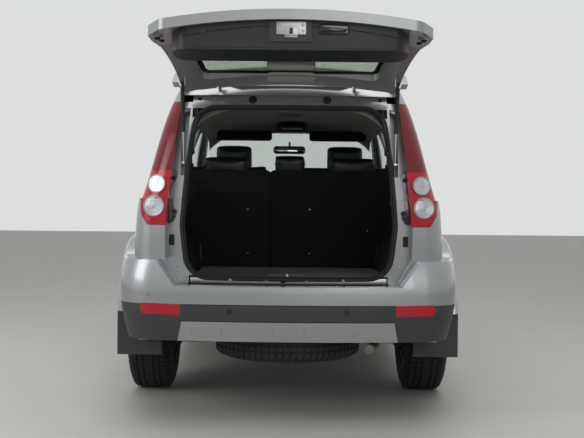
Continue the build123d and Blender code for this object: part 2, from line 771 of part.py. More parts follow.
def floor_pan():
    """Cabin floor, kick-up, cargo floor with wheel wells, firewall and load sill."""
    x = pillar_inner_x
    pieces = [
        block(-x, x, kick_up_y, firewall_y, cabin_floor_z - floor_plate, cabin_floor_z),
        block(-x, x, kick_up_y - 16, kick_up_y, cabin_floor_z - floor_plate, cargo_floor_z),
        block(-x, x, -790, kick_up_y, cargo_floor_z - floor_plate, cargo_floor_z),
        block(-485, 485, -819, -789, cargo_floor_z - floor_plate, cargo_floor_z),
        block(-x, x, firewall_y - 16, firewall_y, cabin_floor_z, 992),
        block(-485, 485, -850, -818, cargo_floor_z - floor_plate, 690),
    ]
    floor = fused(*pieces)
    sill = (tail_skin & block(-485, 485, -1300, -849, 664, 690)) - gate_clearance_low
    wells = []
    cuts = []
    for side in (-1, 1):
        low, high = sorted((side * 512, side * x))
        well = across(arch_radius + 8, low, high, 0, tyre_radius)
        wells.append(well & block(-x, x, -500, 343, cargo_floor_z - 16, 900))
        low, high = sorted((side * 520, side * (x + 40)))
        cuts.append(across(arch_radius, low, high, 0, tyre_radius))
    pads = []
    for x_pad in (-390, 390):
        pads += [block(x_pad - 30, x_pad + 30, y - 30, y + 30, 480, 484.5) for y in (620, 1200, 1800)]
        pads += [block(x_pad - 30, x_pad + 30, y - 30, y + 30, 652, 656.5) for y in (-350, 100)]
    return fused(floor, sill, *wells, *pads) - cuts


def tyre(x, y):
    """One tyre, revolved, with its bead on the rim and a flat tread."""
    r = tyre_radius
    half = tyre_width / 2
    tread = tread_half_width
    points = Polyline((-bead_half_width, rim_radius), (bead_half_width, rim_radius))
    widest = (r + rim_radius) / 2 - 8
    right = ThreePointArc((bead_half_width, rim_radius), (half, widest), (half - 12, r - 34))
    shoulder = ThreePointArc((half - 12, r - 34), (half - 20, r - 13), (tread, r - 3))
    crown = ThreePointArc((tread, r - 3), (0, r), (-tread, r - 3))
    face = make_face([points, right, shoulder, crown, mirror(shoulder, Plane.YZ), mirror(right, Plane.YZ)])
    return Pos(x, y, tyre_radius) * revolve(face, Axis.X)


def spoke_window(angle):
    """One opening between two spokes, seen along the axle: its sides run beside the spokes."""
    lean = math.radians(180 / spoke_count)
    far = lean - math.asin(spoke_half_width / window_far)
    tip = (window_far * math.cos(far) * 1.12, window_far * math.sin(far) * 1.12)
    shape = outline([(window_near, -9), (tip[0], -tip[1]), tip, (window_near, 9)], [8, 26, 26, 8])
    prism = extrude(Plane.ZY * shape, -200, both=True) & Cylinder(window_far, 400, rotation=(0, 90, 0))
    return Rot(angle, 0, 0) * prism


def rim(x, y):
    """A rim: the barrel with its flanges, and a dished face of tapered spokes round a bored hub."""
    side = 1 if x > 0 else -1
    w = bead_half_width
    r = rim_radius - fit_gap
    barrel = Polyline(
        (-w, r), (w, r), (w, r - 9), (w - 12, r - 20),
        (20, r - 30), (-w + 16, r - 18), (-w, r - 9), close=True)
    disc = Polyline(
        (30, 0), (64, 0), (66, 50), (58, 78), (76, r - 40),
        (84, r - 12), (66, r - 12), (46, 80), (30, 66), close=True)
    body = revolve(make_face(barrel), Axis.X) + revolve(make_face(disc), Axis.X)
    body = body + Pos(25, 0, 0) * Cylinder(70, 40, rotation=(0, 90, 0))
    cuts = [across(hub_bore, -40, 54, 0, 0)]
    cuts += [spoke_window((i + 0.5) * 360 / spoke_count) for i in range(spoke_count)]
    for i in range(lug_count):
        a = i * 2 * math.pi / lug_count
        cuts.append(across(lug_pocket, 56, 120, lug_circle * math.sin(a), lug_circle * math.cos(a)))
    body = body - cuts
    if side < 0:
        body = mirror(body, about=Plane.YZ)
    return Pos(x, y, tyre_radius) * body


wheel_x = track / 2
kingpin_x = wheel_x - 30.0


def axle_stub(y):
    """Spindle, brake disc and upright of one rear wheel, on the right."""
    spindle = across(hub_bore - 0.08, wheel_x - 70, wheel_x + 44, y, tyre_radius)
    disc = across(disc_radius, wheel_x - 28, wheel_x - 4, y, tyre_radius)
    return [spindle, disc]


def rear_axle():
    """Final drive, half shafts, uprights, arms, springs and dampers."""
    z = tyre_radius
    upright = block(612, wheel_x - 28, -55, 55, z - 125, z + 110)
    right = [
        *axle_stub(0), upright, across(18, 118, 620, 0, z),
        block(430.3, 614, -48, 48, 262, 292),
        block(430.3, 640, 30, 62, z + 60, z + 84),
    ]
    right.append(extrude(Plane.XY.offset(292) * Pos(530, 60) * Circle(40), 268))
    carrier = [block(-60, 60, 60, 190, z - 60, z + 60), block(-40, 40, -40, 40, z + 60, 560)]
    drive = fused(across(95, -120, 120, 0, z), *carrier)
    half = fused(*right)
    return fused(drive, half, left_of(half))


def front_suspension():
    """Lower and upper arms with their ball studs, dampers and the steering rack."""
    lower = block(470.3, kingpin_x + 16, front_axle_y - 22, front_axle_y + 22, 196, 225)
    lower = lower + block(470.3, 500, front_axle_y - 75, front_axle_y + 75, 196, 400)
    lower = lower - block(480, 900, 0, 4000, 225, 500)
    stud = Pos(kingpin_x, front_axle_y, 236) * Cylinder(11.7, 24)
    upper = block(430.3, kingpin_x + 16, front_axle_y - 20, front_axle_y + 20, 500.6, 520)
    top_stud = Pos(kingpin_x, front_axle_y, 490) * Cylinder(11.7, 24)
    damper = Pos(560, front_axle_y, 0) * extrude(Plane.XY.offset(225) * Circle(32), 535)
    right = [fused(lower, stud), damper, fused(upper, top_stud)]
    return fused(*right)


def knuckle():
    """The steered upright: bored for both ball studs, with spindle, disc and caliper."""
    y, z = front_axle_y, tyre_radius
    post = block(kingpin_x - 24, kingpin_x + 20, y - 28, y + 28, 225.3, 500.3)
    hub = across(52, kingpin_x, wheel_x - 20, y, z)
    bores = [Pos(kingpin_x, y, 232) * Cylinder(12, 40), Pos(kingpin_x, y, 494) * Cylinder(12, 44)]
    return fused(post, hub, *axle_stub(y)) - bores


def exhaust():
    run = [(190, 2300, 440), (190, 2300, 330), (190, 900, 330), (240, 700, 330)]
    pipe = tube_run(run, 26, 60)
    silencer = block(190, 330, 300, 720, 262, 358)
    run = [
        (329, 400, 310), (458, 400, 310), (458, 250, 310), (458, 130, 490),
        (458, -480, 490), (430, -860, 370), (385, -1050, 370),
    ]
    tail = tube_run(run, 22, 45)
    return fused(pipe, silencer, tail)


def fuel_tank():
    y_far = tank_member_y - seat_gap
    return plan_prism([(-340, 340), (80, 340), (80, y_far), (-340, y_far)], 270, 470, 30)


def powertrain():
    return block(-250, 250, 2200, 2900, 440, 950) + block(-140, 140, firewall_y + 2, 2202, 440, 640)


def spare_wheel():
    """The spare, lying flat under the cargo floor, hung on a rod."""
    side = Polyline(
        (150, -75), (rim_radius, -112), (330, -117), (368, -90),
        (368, 90), (330, 117), (rim_radius, 112), (150, 60), close=True)
    wheel = revolve(Plane.XZ * make_face(side), Axis.Z)
    plate = Cylinder(152, 20)
    hanger = Pos(0, 0, 128) * Cylinder(12, 256)
    return Pos(0, -625, 400) * fused(wheel, plate, hanger)


# Cabin
def dashboard():
    back = firewall_y - 16
    side = [(1560, 800), (1530, 900), (1560, 990), (1640, 1030), (back, 1010), (back, 760), (1700, 740)]
    board = side_prism(side, -pillar_inner_x + 30, pillar_inner_x - 30, [30, 40, 60, 60, 0, 0, 60])
    console = block(-120, 120, 900, 1720, cabin_floor_z, 700) + block(-120, 120, 1500, 1720, 700, 800)
    column = rod(steer_point(170), steer_point(17.3), 26)
    return fused(board, console, column)


steer_x = 370.0
column_tilt = 24.0


def steer_point(distance):
    """A point on the steering column's axis, measured back from the board."""
    a = math.radians(column_tilt)
    return (-steer_x, 1470 + distance * math.cos(a), 968 - distance * math.sin(a))


def steering_wheel():
    a = column_tilt
    ring = Torus(178, 14)
    hub = Cylinder(52, 34)
    spokes = [Rot(0, 0, angle) * (Pos(95, 0, 0) * Box(170, 34, 14)) for angle in (0, 180, 270)]
    wheel = fused(ring, hub, *spokes)
    return Pos(-steer_x, 1470, 968) * Rot(90 - a, 0, 0) * wheel


def front_seat():
    """One front seat: plinth, cushion, reclined backrest and headrest."""
    x_low, x_high = 130.3, 640
    cushion = side_prism([(740, 600), (1280, 640), (1290, 720), (1230, 752), (800, 720)], x_low, x_high, 22)
    back_side = [(730, 620), (590, 1230), (680, 1250), (800, 1180), (870, 700)]
    back = side_prism(back_side, x_low + 12, x_high - 12, 20)
    head = side_prism([(568, 1245), (640, 1265), (620, 1440), (540, 1425)], 260, 510, 25)
    plinth = block(200, 570, 800, 1220, cabin_floor_z, 660)
    posts = [rod((x, 620, 1200), (x, 598, 1300), 7) for x in (330, 440)]
    return fused(cushion, back, plinth, head, *posts)


def rear_seat():
    """The rear bench with its split backrest and three headrests."""
    cushion = side_prism([(170, 700), (560, 700), (600, 760), (580, 810), (170, 790)], -640, 640, 22)
    plinth = block(-640, 640, kick_up_y + seat_gap, 520, cabin_floor_z, 700)
    plinth = plinth + block(-510, 510, 180, 350, cargo_floor_z, 705)
    back_side = [(150, 700), (0, 1230), (70, 1250), (170, 1200), (290, 740)]
    backs = [side_prism(back_side, -640, -112, 18), side_prism(back_side, -104, 640, 18)]
    heads = [(-520, -270), (-87, 87), (270, 520)]
    pieces = [cushion, plinth, *backs, block(-640, 640, 60, 140, 760, 1100)]
    for low, high in heads:
        pieces.append(side_prism([(-30, 1262), (60, 1262), (50, 1370), (-20, 1372)], low, high, 18))
        pieces += [rod((x, 30, 1200), (x, 20, 1290), 7) for x in (low + 60, high - 60)]
    wells = [across(arch_radius + 9, low, low + 210, 0, tyre_radius) for low in (-718, 508)]
    return fused(*pieces) - wells


def roof_rail():
    top = [(-748, 1655), (-640, 1714), (-300, 1736), (500, rail_height), (1130, 1734), (1262, 1668)]
    under = [(1150, 1660), (1120, 1716), (500, 1726), (-300, 1716), (-620, 1694), (-660, 1640)]
    rail = side_prism(top + under, 558, 590, 4)
    feet = [block(562, 586, y - 26, y + 26, 1600, 1722) for y in (-80, 540)]
    return (rail + feet) - (Pos(0, 0, 0.3) * roof_cap)


lamp_cores = {40.0: lamp_core(40.0), 38.0: lamp_core(38.0)}
lamp_pocket = lamp_shell(2.0, 40.0)
glass_layer = top_layer(glass_inset, glass_inset + glass_thickness)
rebate_layer = top_layer(0, pillar_skin)
gate_clearance_low = rear_cut(gate_outline, gate_gap, -1300, 0) - tail_core(gate_rebate)
gate_room = gate_clearance()

# The whole vehicle
right_side = body_side()
right_door = front_door()
right_rear_door = rear_door()
right_panes = {"front": window_glass(front_window), "rear": window_glass(rear_window)}
windscreen = glass_layer & rear_cut(windshield_outline, -seat_gap, 1100, 2400, 55)
right_arms = front_suspension()
lamp = lamp_shell(0, 38.0)
reflectors = bumper_insert(reflector_outline)

pieces = {
    "frame_rails": both(frame_rail()),
    "cross_members": cross_members(),
    "floor_pan": floor_pan(),
    "body_side_right": right_side,
    "body_side_left": left_of(right_side),
    "roof_panel": fused(roof_panel(), *hinge_lugs()),
    "front_fenders": both(front_fender()),
    "front_bumper": front_bumper(),
    "grille": grille(),
    "headlamps": both(headlamp()),
    "cowl_panel": cowl(),
    "fixed_glass": Compound([*windscreen.solids(), *both(window_glass(quarter_window)).solids()]),
    "rear_lamps": Compound([*both(lamp).solids(), *both(reflectors).solids()]),
    "rear_bumper": rear_bumper(),
    "bumper_strip": bumper_insert(trim_outline),
    "skid_plate": bumper_insert(skid_outline),
    "roof_rails": both(roof_rail()),
    "gate_seal": gate_seal(),
    "mud_flaps": both(mud_flap()),
    "dashboard": dashboard(),
    "front_seats": both(front_seat()),
    "rear_seat": rear_seat(),
    "powertrain_block": powertrain(),
    "fuel_tank": fuel_tank(),
    "exhaust": exhaust(),
    "rear_axle": rear_axle(),
    "front_suspension": both(right_arms),
    "spare_wheel": spare_wheel(),
    "steering_wheel": steering_wheel(),
    "hood": hood(),
    "door_front_right": right_door,
    "door_front_left": left_of(right_door),
    "door_rear_right": right_rear_door,
    "door_rear_left": left_of(right_rear_door),
    "glass_front_right": right_panes["front"],
    "glass_front_left": left_of(right_panes["front"]),
    "glass_rear_right": right_panes["rear"],
    "glass_rear_left": left_of(right_panes["rear"]),
    "tailgate": open_gate(tailgate() + [gate_strut_bracket(), left_of(gate_strut_bracket())]),
    "tailgate_lining": open_gate(gate_lining()),
    "tailgate_glass": open_gate(gate_glass()),
    "strut_cylinders": both(strut_cylinder()),
    "strut_rods": both(strut_rod()),
}
for side, x in (("right", 1), ("left", -1)):
    upright = knuckle()
    pieces["knuckle_" + side] = upright if x > 0 else left_of(upright)
    for end, y in (("front", front_axle_y), ("rear", 0.0)):
        pieces["tyre_" + end + "_" + side] = tyre(x * wheel_x, y)
        pieces["rim_" + end + "_" + side] = rim(x * wheel_x, y)

# the origin goes to the ground under the middle of everything
boxes = [piece.bounding_box() for piece in pieces.values()]
shift_y = -(max(b.max.Y for b in boxes) + min(b.min.Y for b in boxes)) / 2
parts = {name: Pos(0, shift_y, 0) * piece for name, piece in pieces.items()}
os.makedirs("parts", exist_ok=True)
for name, piece in parts.items():
    export_step(piece, "parts/" + name + ".step")
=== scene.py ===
import math

import bmesh
import bpy
import numpy as np
from mathutils import Matrix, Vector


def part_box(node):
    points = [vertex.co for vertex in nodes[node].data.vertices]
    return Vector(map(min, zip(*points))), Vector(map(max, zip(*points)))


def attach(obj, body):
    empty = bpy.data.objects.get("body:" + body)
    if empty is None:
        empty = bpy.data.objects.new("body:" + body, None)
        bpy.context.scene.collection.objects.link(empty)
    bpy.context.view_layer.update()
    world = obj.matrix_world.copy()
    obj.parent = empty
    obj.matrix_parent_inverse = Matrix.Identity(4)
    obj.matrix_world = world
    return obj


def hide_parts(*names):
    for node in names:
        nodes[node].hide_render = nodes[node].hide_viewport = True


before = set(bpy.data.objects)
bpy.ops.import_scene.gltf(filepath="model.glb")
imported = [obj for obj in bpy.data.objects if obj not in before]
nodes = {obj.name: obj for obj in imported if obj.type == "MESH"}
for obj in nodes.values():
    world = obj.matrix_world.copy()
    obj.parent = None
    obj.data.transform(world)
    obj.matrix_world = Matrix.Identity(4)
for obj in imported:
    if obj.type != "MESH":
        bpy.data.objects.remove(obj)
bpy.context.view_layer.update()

# Places are in metres: x to the car's right, y forward from the rear axle, z up from the ground.
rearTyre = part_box("tyre_rear_right")
axleY = (rearTyre[0].y + rearTyre[1].y) / 2
print("frame loaded:", len(nodes), "nodes")

gateSwing = {"hingeY": -0.748, "hingeZ": 1.642, "openDegrees": 89.0}


# Shapes. Each function gives a pair: an array of points and a list of faces.
def grid(points, closeAcross=False, closeAlong=False):
    # quads between the neighbours of a grid of points, joined round where a direction closes
    rows, columns = points.shape[:2]
    i = np.arange(rows if closeAlong else rows - 1)[:, None]
    j = np.arange(columns if closeAcross else columns - 1)[None, :]
    nextRow = (i + 1) % rows
    nextColumn = (j + 1) % columns
    corners = [i * columns + j, i * columns + nextColumn, nextRow * columns + nextColumn,
               nextRow * columns + j]
    quads = np.stack(np.broadcast_arrays(*corners), -1).reshape(-1, 4)
    return points.reshape(-1, 3), quads.tolist()


def loft(rings):
    # closed rings joined in order, with a flat face over the first and over the last
    rings = np.asarray(rings, float)
    points, quads = grid(rings, closeAcross=True)
    ring = np.arange(rings.shape[1])
    ends = [ring[::-1].tolist(), (ring + len(points) - len(ring)).tolist()]
    return points, quads + ends


def rounded(corners, radii, steps=5):
    # each corner becomes an arc that touches both its sides: it starts radius / tan(half the corner) away
    corner = np.asarray(corners, float)
    before = np.roll(corner, 1, 0) - corner
    after = np.roll(corner, -1, 0) - corner
    before = before / np.linalg.norm(before, axis=1, keepdims=True)
    after = after / np.linalg.norm(after, axis=1, keepdims=True)
    halfAngle = np.arccos(np.clip((before * after).sum(1), -0.9999, 0.9999)) / 2
    radius = np.broadcast_to(np.asarray(radii, float), len(corner))
    bisector = before + after
    bisector = bisector / np.linalg.norm(bisector, axis=1, keepdims=True)
    centre = corner + bisector * (radius / np.sin(halfAngle))[:, None]
    start = corner + before * (radius / np.tan(halfAngle))[:, None] - centre
    end = corner + after * (radius / np.tan(halfAngle))[:, None] - centre
    first = np.arctan2(start[:, 1], start[:, 0])
    turn = np.arctan2(end[:, 1], end[:, 0]) - first
    turn = (turn + np.pi) % (2 * np.pi) - np.pi
    angles = first[:, None] + turn[:, None] * np.linspace(0, 1, steps)[None, :]
    arcs = centre[:, None] + radius[:, None, None] * np.stack([np.cos(angles), np.sin(angles)], -1)
    return arcs.reshape(-1, 2)


def shrunk(flat, amount):
    # every point of a flat outline moves inwards, square to the line between its two neighbours
    along = np.roll(flat, -1, 0) - np.roll(flat, 1, 0)
    out = np.stack([along[:, 1], -along[:, 0]], 1) / np.linalg.norm(along, axis=1, keepdims=True)
    area = (flat[:, 0] * np.roll(flat[:, 1], -1) - flat[:, 1] * np.roll(flat[:, 0], -1)).sum()
    return flat - out * amount * (1 if area > 0 else -1)


def evened(flat, count):
    # a closed outline's points put at equal steps along its length
    closed = np.concatenate([flat, flat[:1]])
    length = np.concatenate([[0], np.cumsum(np.linalg.norm(np.diff(closed, axis=0), axis=1))])
    places = np.linspace(0, length[-1], count, endpoint=False)
    return np.stack([np.interp(places, length, closed[:, 0]), np.interp(places, length, closed[:, 1])], 1)


def boxed(edges):
    # the corners of a rectangle, from its low and high edge on each axis
    low, high, near, far = edges
    return [(low, near), (high, near), (high, far), (low, far)]


def bar(halfSide, halfDepth, corner, steps=5):
    # a round-cornered rectangle about the origin
    return rounded(boxed((-halfSide, halfSide, -halfDepth, halfDepth)), corner, steps)


def placed(x, y, z):
    # points from their three coordinates, each an array or one number for all
    return np.stack(np.broadcast_arrays(x, y, z), -1).astype(float)


def plate(corners, radii, low, high, axes="xzy", bevel=0.002, steps=5):
    # a round-cornered outline carried from low to high, with both rims rounded by quarter circles
    flat = rounded(corners, radii, steps)
    turns = np.linspace(0, math.pi / 2, 4)
    insets = bevel * (1 - np.sin(turns))
    rises = bevel * (1 - np.cos(turns))
    insets = np.concatenate([insets, insets[::-1]])
    heights = np.concatenate([low + rises, high - rises[::-1]])
    rings = np.zeros((len(insets), len(flat), 3))
    for ring, inset, height in zip(rings, insets, heights):
        ring[:, "xyz".index(axes[0])], ring[:, "xyz".index(axes[1])] = shrunk(flat, inset).T
        ring[:, "xyz".index(axes[2])] = height
    return loft(rings)


def lathe(profile, centre, axis="y", steps=32):
    # a profile of (radius, height) turned about an axis through the centre
    radius, height = np.asarray(profile, float).T
    angle = np.linspace(0, 2 * math.pi, steps, endpoint=False)[:, None]
    points = np.zeros((steps, len(radius), 3))
    a, b, c = {"x": (1, 2, 0), "y": (2, 0, 1), "z": (0, 1, 2)}[axis]
    points[..., a] = radius * np.cos(angle)
    points[..., b] = radius * np.sin(angle)
    points[..., c] = height
    return grid(points + np.asarray(centre), closeAlong=True)


def curve(controls, steps=8, closed=False):
    # a Catmull-Rom curve: each span is the cubic through its ends with the neighbours' slopes
    p = np.asarray(controls, float)
    if closed:
        a, b, c, d = np.roll(p, 1, 0), p, np.roll(p, -1, 0), np.roll(p, -2, 0)
    else:
        ends = np.concatenate([[2 * p[0] - p[1]], p, [2 * p[-1] - p[-2]]])
        a, b, c, d = ends[:-3], ends[1:-2], ends[2:-1], ends[3:]
    t = np.linspace(0, 1, steps, endpoint=False)[None, :, None]
    a, b, c, d = (k[:, None] for k in (a, b, c, d))
    cubic = (3 * b - a - 3 * c + d) * t ** 3
    spans = 0.5 * (2 * b + (c - a) * t + (2 * a - 5 * b + 4 * c - d) * t ** 2 + cubic)
    path = spans.reshape(-1, p.shape[1])
    return path if closed else np.concatenate([path, p[-1:]])


def carried(path, section, up=(0, 0, 1), closed=False):
    # a flat section (side, up) carried along a path, square to it; up says which way its second axis leans
    path = np.asarray(path, float)
    section = np.asarray(section, float)
    along = np.roll(path, -1, 0) - np.roll(path, 1, 0) if closed else np.gradient(path, axis=0)
    along = along / np.linalg.norm(along, axis=1, keepdims=True)
    side = np.cross(along, np.broadcast_to(np.asarray(up, float), path.shape))
    side = side / np.linalg.norm(side, axis=1, keepdims=True)
    rise = np.cross(side, along)
    rings = path[:, None] + side[:, None] * section[None, :, :1] + rise[:, None] * section[None, :, 1:]
    if closed:
        return grid(rings, closeAcross=True, closeAlong=True)
    return loft(rings)


def circle(radius, sides=10, squash=1.0):
    # points round a circle, its second axis squashed
    angle = np.linspace(0, 2 * math.pi, sides, endpoint=False)
    return np.stack([radius * np.cos(angle), radius * squash * np.sin(angle)], 1)


def tube(path, radius, up=(0, 0, 1), sides=10, closed=False):
    return carried(path, circle(radius, sides), up, closed)


def moved(shape, offset):
    return shape[0] + np.asarray(offset), shape[1]


def mirror(shape):
    # x turned to -x, with each face's order turned too
    return shape[0] * np.array([-1, 1, 1]), [face[::-1] for face in shape[1]]


def asMade(shape):
    return shape


sides = (("right", asMade), ("left", mirror))


def swung(shape):
    # the closed tailgate's place turned up about its hinge line
    angle = math.radians(-gateSwing["openDegrees"])
    y = shape[0][:, 1] - gateSwing["hingeY"]
    z = shape[0][:, 2] - gateSwing["hingeZ"]
    turnedY = gateSwing["hingeY"] + y * math.cos(angle) - z * math.sin(angle)
    turnedZ = gateSwing["hingeZ"] + y * math.sin(angle) + z * math.cos(angle)
    return np.stack([shape[0][:, 0], turnedY, turnedZ], 1), shape[1]


def tilted(shape, centre, axis, degrees):
    # a turn about an axis through a centre
    angle = math.radians(degrees)
    a, b = {"x": (1, 2), "y": (2, 0), "z": (0, 1)}[axis]
    points = shape[0] - np.asarray(centre)
    turned = points.copy()
    turned[:, a] = points[:, a] * math.cos(angle) - points[:, b] * math.sin(angle)
    turned[:, b] = points[:, a] * math.sin(angle) + points[:, b] * math.cos(angle)
    return turned + np.asarray(centre), shape[1]


def joined(shapes):
    # several shapes as one: each one's faces count on from the points before it
    points = np.concatenate([shape[0] for shape in shapes])
    faces = []
    count = 0
    for shape in shapes:
        faces += [[index + count for index in face] for face in shape[1]]
        count += len(shape[0])
    return points, faces


def skinAt(node, places, direction=(0, 1, 0), start=4.0):
    # where straight lines through the places first meet a node's skin, and its slope there
    heading = np.asarray(direction, float)
    found = []
    for place in np.atleast_2d(np.asarray(places, float)):
        origin = place + np.array([0, axleY, 0]) - heading * start
        hit, spot, normal, face = nodes[node].ray_cast(origin.tolist(), heading.tolist())
        if not hit:
            raise ValueError("nothing of " + node + " at " + str(place))
        found.append([spot.x, spot.y - axleY, spot.z, normal.x, normal.y, normal.z])
    return np.array(found)


def seated(shape, node, x, z, proud=0.0):
    # a shape made round y = 0 goes to a node's rear skin at (x, z) and leans with its slope
    spot = skinAt(node, (x, 0, z))[0]
    points = shape[0].copy()
    leanAcross = (points[:, 0] - x) * spot[3] / spot[4]
    leanUp = (points[:, 2] - z) * spot[5] / spot[4]
    points[:, 1] += spot[1] - proud - leanAcross - leanUp
    return points, shape[1]


def addPiece(name, shapes, finish, body="vehicle", mirrored=False, gate=False, crease=35, wall=0.0, levels=0):
    # the shapes as one mesh: doubles merged, normals outwards, edges sharper than the crease (degrees) sharp
    shape = joined(shapes if isinstance(shapes, list) else [shapes])
    if mirrored:
        shape = joined([shape, mirror(shape)])
    if gate:
        shape = swung(shape)
    mesh = bpy.data.meshes.new(name)
    mesh.from_pydata((shape[0] + np.array([0, axleY, 0])).tolist(), [], shape[1])
    work = bmesh.new()
    work.from_mesh(mesh)
    bmesh.ops.remove_doubles(work, verts=work.verts, dist=2e-5)
    bmesh.ops.recalc_face_normals(work, faces=work.faces)
    work.to_mesh(mesh)
    work.free()
    mesh.shade_smooth()
    mesh.set_sharp_from_angle(angle=math.radians(crease))
    mesh.materials.append(made[finish])
    piece = bpy.data.objects.new(name, mesh)
    bpy.context.scene.collection.objects.link(piece)
    if wall:
        solid = piece.modifiers.new("wall", "SOLIDIFY")
        solid.thickness = wall
        solid.offset = 0
    if levels:
        finer = piece.modifiers.new("finer", "SUBSURF")
        finer.levels = finer.render_levels = levels
    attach(piece, body)
    return piece


# Colours and materials
def linear(hexColour):
    # sRGB to linear light: c / 12.92 in the dark toe, ((c + 0.055) / 1.055) to the power 2.4 above it
    parts = np.array([int(hexColour[i:i + 2], 16) for i in (1, 3, 5)]) / 255
    lit = np.where(parts <= 0.04045, parts / 12.92, ((parts + 0.055) / 1.055) ** 2.4)
    return (*lit.tolist(), 1.0)


def addNode(tree, kind, values=None, links=None):
    # one node, with its settings by name or socket number, and the sockets that feed it
    node = tree.nodes.new("ShaderNode" + kind)
    for key, value in (values or {}).items():
        if isinstance(key, int) or key in node.inputs:
            node.inputs[key].default_value = value
        else:
            setattr(node, key, value)
    for key, socket in (links or {}).items():
        tree.links.new(socket, node.inputs[key])
    return node


# Finishes. Sizes of grain and patches are in millimetres; spread is how far the grain moves the colour.
finishes = {
    # metallic basecoat under clear lacquer, sprayed: fine flake sparkle and a sharp gloss
    "silverMetallicPaint": dict(colour="#9A9C9E", metallic=0.7, roughness=0.34, coat=1.0, coatRoughness=0.04,
                                grain=1.6, spread=0.05, patch=420),
    # the same paint without much lacquer, on jambs and inner panels
    "jambPaint": dict(colour="#9A9C9D", metallic=0.55, roughness=0.4, coat=0.4, coatRoughness=0.1,
                      grain=1.8, spread=0.05, patch=300),
    # matt silver paint on moulded plastic: soft, no lacquer
    "silverPaintedPlastic": dict(colour="#9D9E9E", metallic=0.35, roughness=0.48, grain=1.4, spread=0.04,
                                 patch=200, bump=0.02),
    # moulded polypropylene with a leather grain: dull grey-black
    "grainedPolypropylene": dict(colour="#35383A", roughness=0.55, grain=2.2, spread=0.12, patch=180,
                                 bump=0.25),
    # moulded trim plastic, fine grain: nearly black
    "mouldedTrimPlastic": dict(colour="#15171E", roughness=0.5, grain=1.8, spread=0.12, patch=160, bump=0.2),
    # smooth black plastic: hard gloss
    "polishedBlackPlastic": dict(colour="#0B0C0D", roughness=0.12, coat=0.6, coatRoughness=0.03,
                                 grain=3.0, spread=0.05, patch=120),
    # pillar covers, moulded in pale grey with a fine grain
    "paleGreyTrimPlastic": dict(colour="#8E908B", roughness=0.58, grain=2.0, spread=0.07, patch=150,
                                bump=0.15),
    # knitted polyester stuck to a foam board: soft and even
    "knittedHeadliner": dict(colour="#7C7F79", roughness=0.95, sheen=0.3, grain=2.6, spread=0.1, patch=260,
                             bump=0.4),
    # needle-punched carpet: fibrous, no gloss
    "needledCarpet": dict(colour="#0B0C11", roughness=0.98, sheen=0.12, grain=3.2, spread=0.35, patch=140,
                          bump=0.9),
    # tanned leather with a pigment coat: a pebbled grain and a soft sheen
    "coatedSeatLeather": dict(colour="#0E1015", roughness=0.42, grain=3.0, spread=0.15, patch=180, bump=0.35,
                              cells=True),
    # twisted thread, a shade paler than the leather
    "twistedThread": dict(colour="#34363B", roughness=0.8, grain=0.8, spread=0.2, patch=40, bump=0.2),
    # woven polyester belt webbing
    "wovenWebbing": dict(colour="#26282B", roughness=0.8, sheen=0.3, grain=1.5, spread=0.25, patch=60,
                         bump=0.5),
    # extruded rubber seal
    "extrudedRubber": dict(colour="#141517", roughness=0.7, grain=1.6, spread=0.1, patch=90, bump=0.15),
    # vulcanised tread rubber with a little road dust in it
    "vulcanisedRubber": dict(colour="#1A1B1C", roughness=0.78, grain=2.4, spread=0.25, patch=60, bump=0.3),
    # cast aluminium wheel, painted silver and lacquered
    "paintedCastAluminium": dict(colour="#A9ABAD", metallic=0.8, roughness=0.3, coat=0.6, coatRoughness=0.06,
                                 grain=1.5, spread=0.05, patch=90, bump=0.02),
    # bright chrome plate
    "chromePlate": dict(colour="#D6D8DA", metallic=1.0, roughness=0.08, grain=2.0, spread=0.02, patch=80),
    # vacuum-silvered reflector, faintly ridged
    "silveredReflector": dict(colour="#C9CCCE", metallic=0.75, roughness=0.26, grain=5.0, spread=0.12,
                              patch=30, bump=0.25),
    # satin stainless strip
    "satinStainless": dict(colour="#BDBFBF", metallic=0.9, roughness=0.3, grain=1.2, spread=0.05, patch=60,
                           bump=0.03),
    # zinc-plated pressed steel: dull silver with cloudy patches
    "zincPlatedSteel": dict(colour="#A9ABAA", metallic=0.85, roughness=0.38, grain=4.0, spread=0.12, patch=25,
                            bump=0.05),
    # dipped black paint on welded steel
    "dippedBlackPaint": dict(colour="#17181A", roughness=0.5, grain=5.0, spread=0.3, patch=130, bump=0.2),
    # sand-cast iron, lightly rusted
    "sandCastIron": dict(colour="#4A4643", metallic=0.7, roughness=0.6, grain=3.0, spread=0.3, patch=50,
                         bump=0.5),
    # rolled exhaust steel, heat-browned in patches
    "rolledExhaustSteel": dict(colour="#6E675F", metallic=0.85, roughness=0.45, grain=4.0, spread=0.3,
                               patch=70, bump=0.2),
    # blow-moulded polyethylene tank
    "blowMouldedPolyethylene": dict(colour="#1B1C1E", roughness=0.62, grain=5.0, spread=0.2, patch=120,
                                    bump=0.3),
    # black ceramic print fired on to glass
    "ceramicPrint": dict(colour="#08090A", roughness=0.25, grain=1.5, spread=0.1, patch=80),
}


def belowHeight(height):
    # 1 below a height, 0 above it
    def mask(tree, place):
        z = addNode(tree, "SeparateXYZ", None, {0: place}).outputs[2]
        return addNode(tree, "Math", {"operation": "LESS_THAN", 1: height}, {0: z}).outputs[0]
    return mask


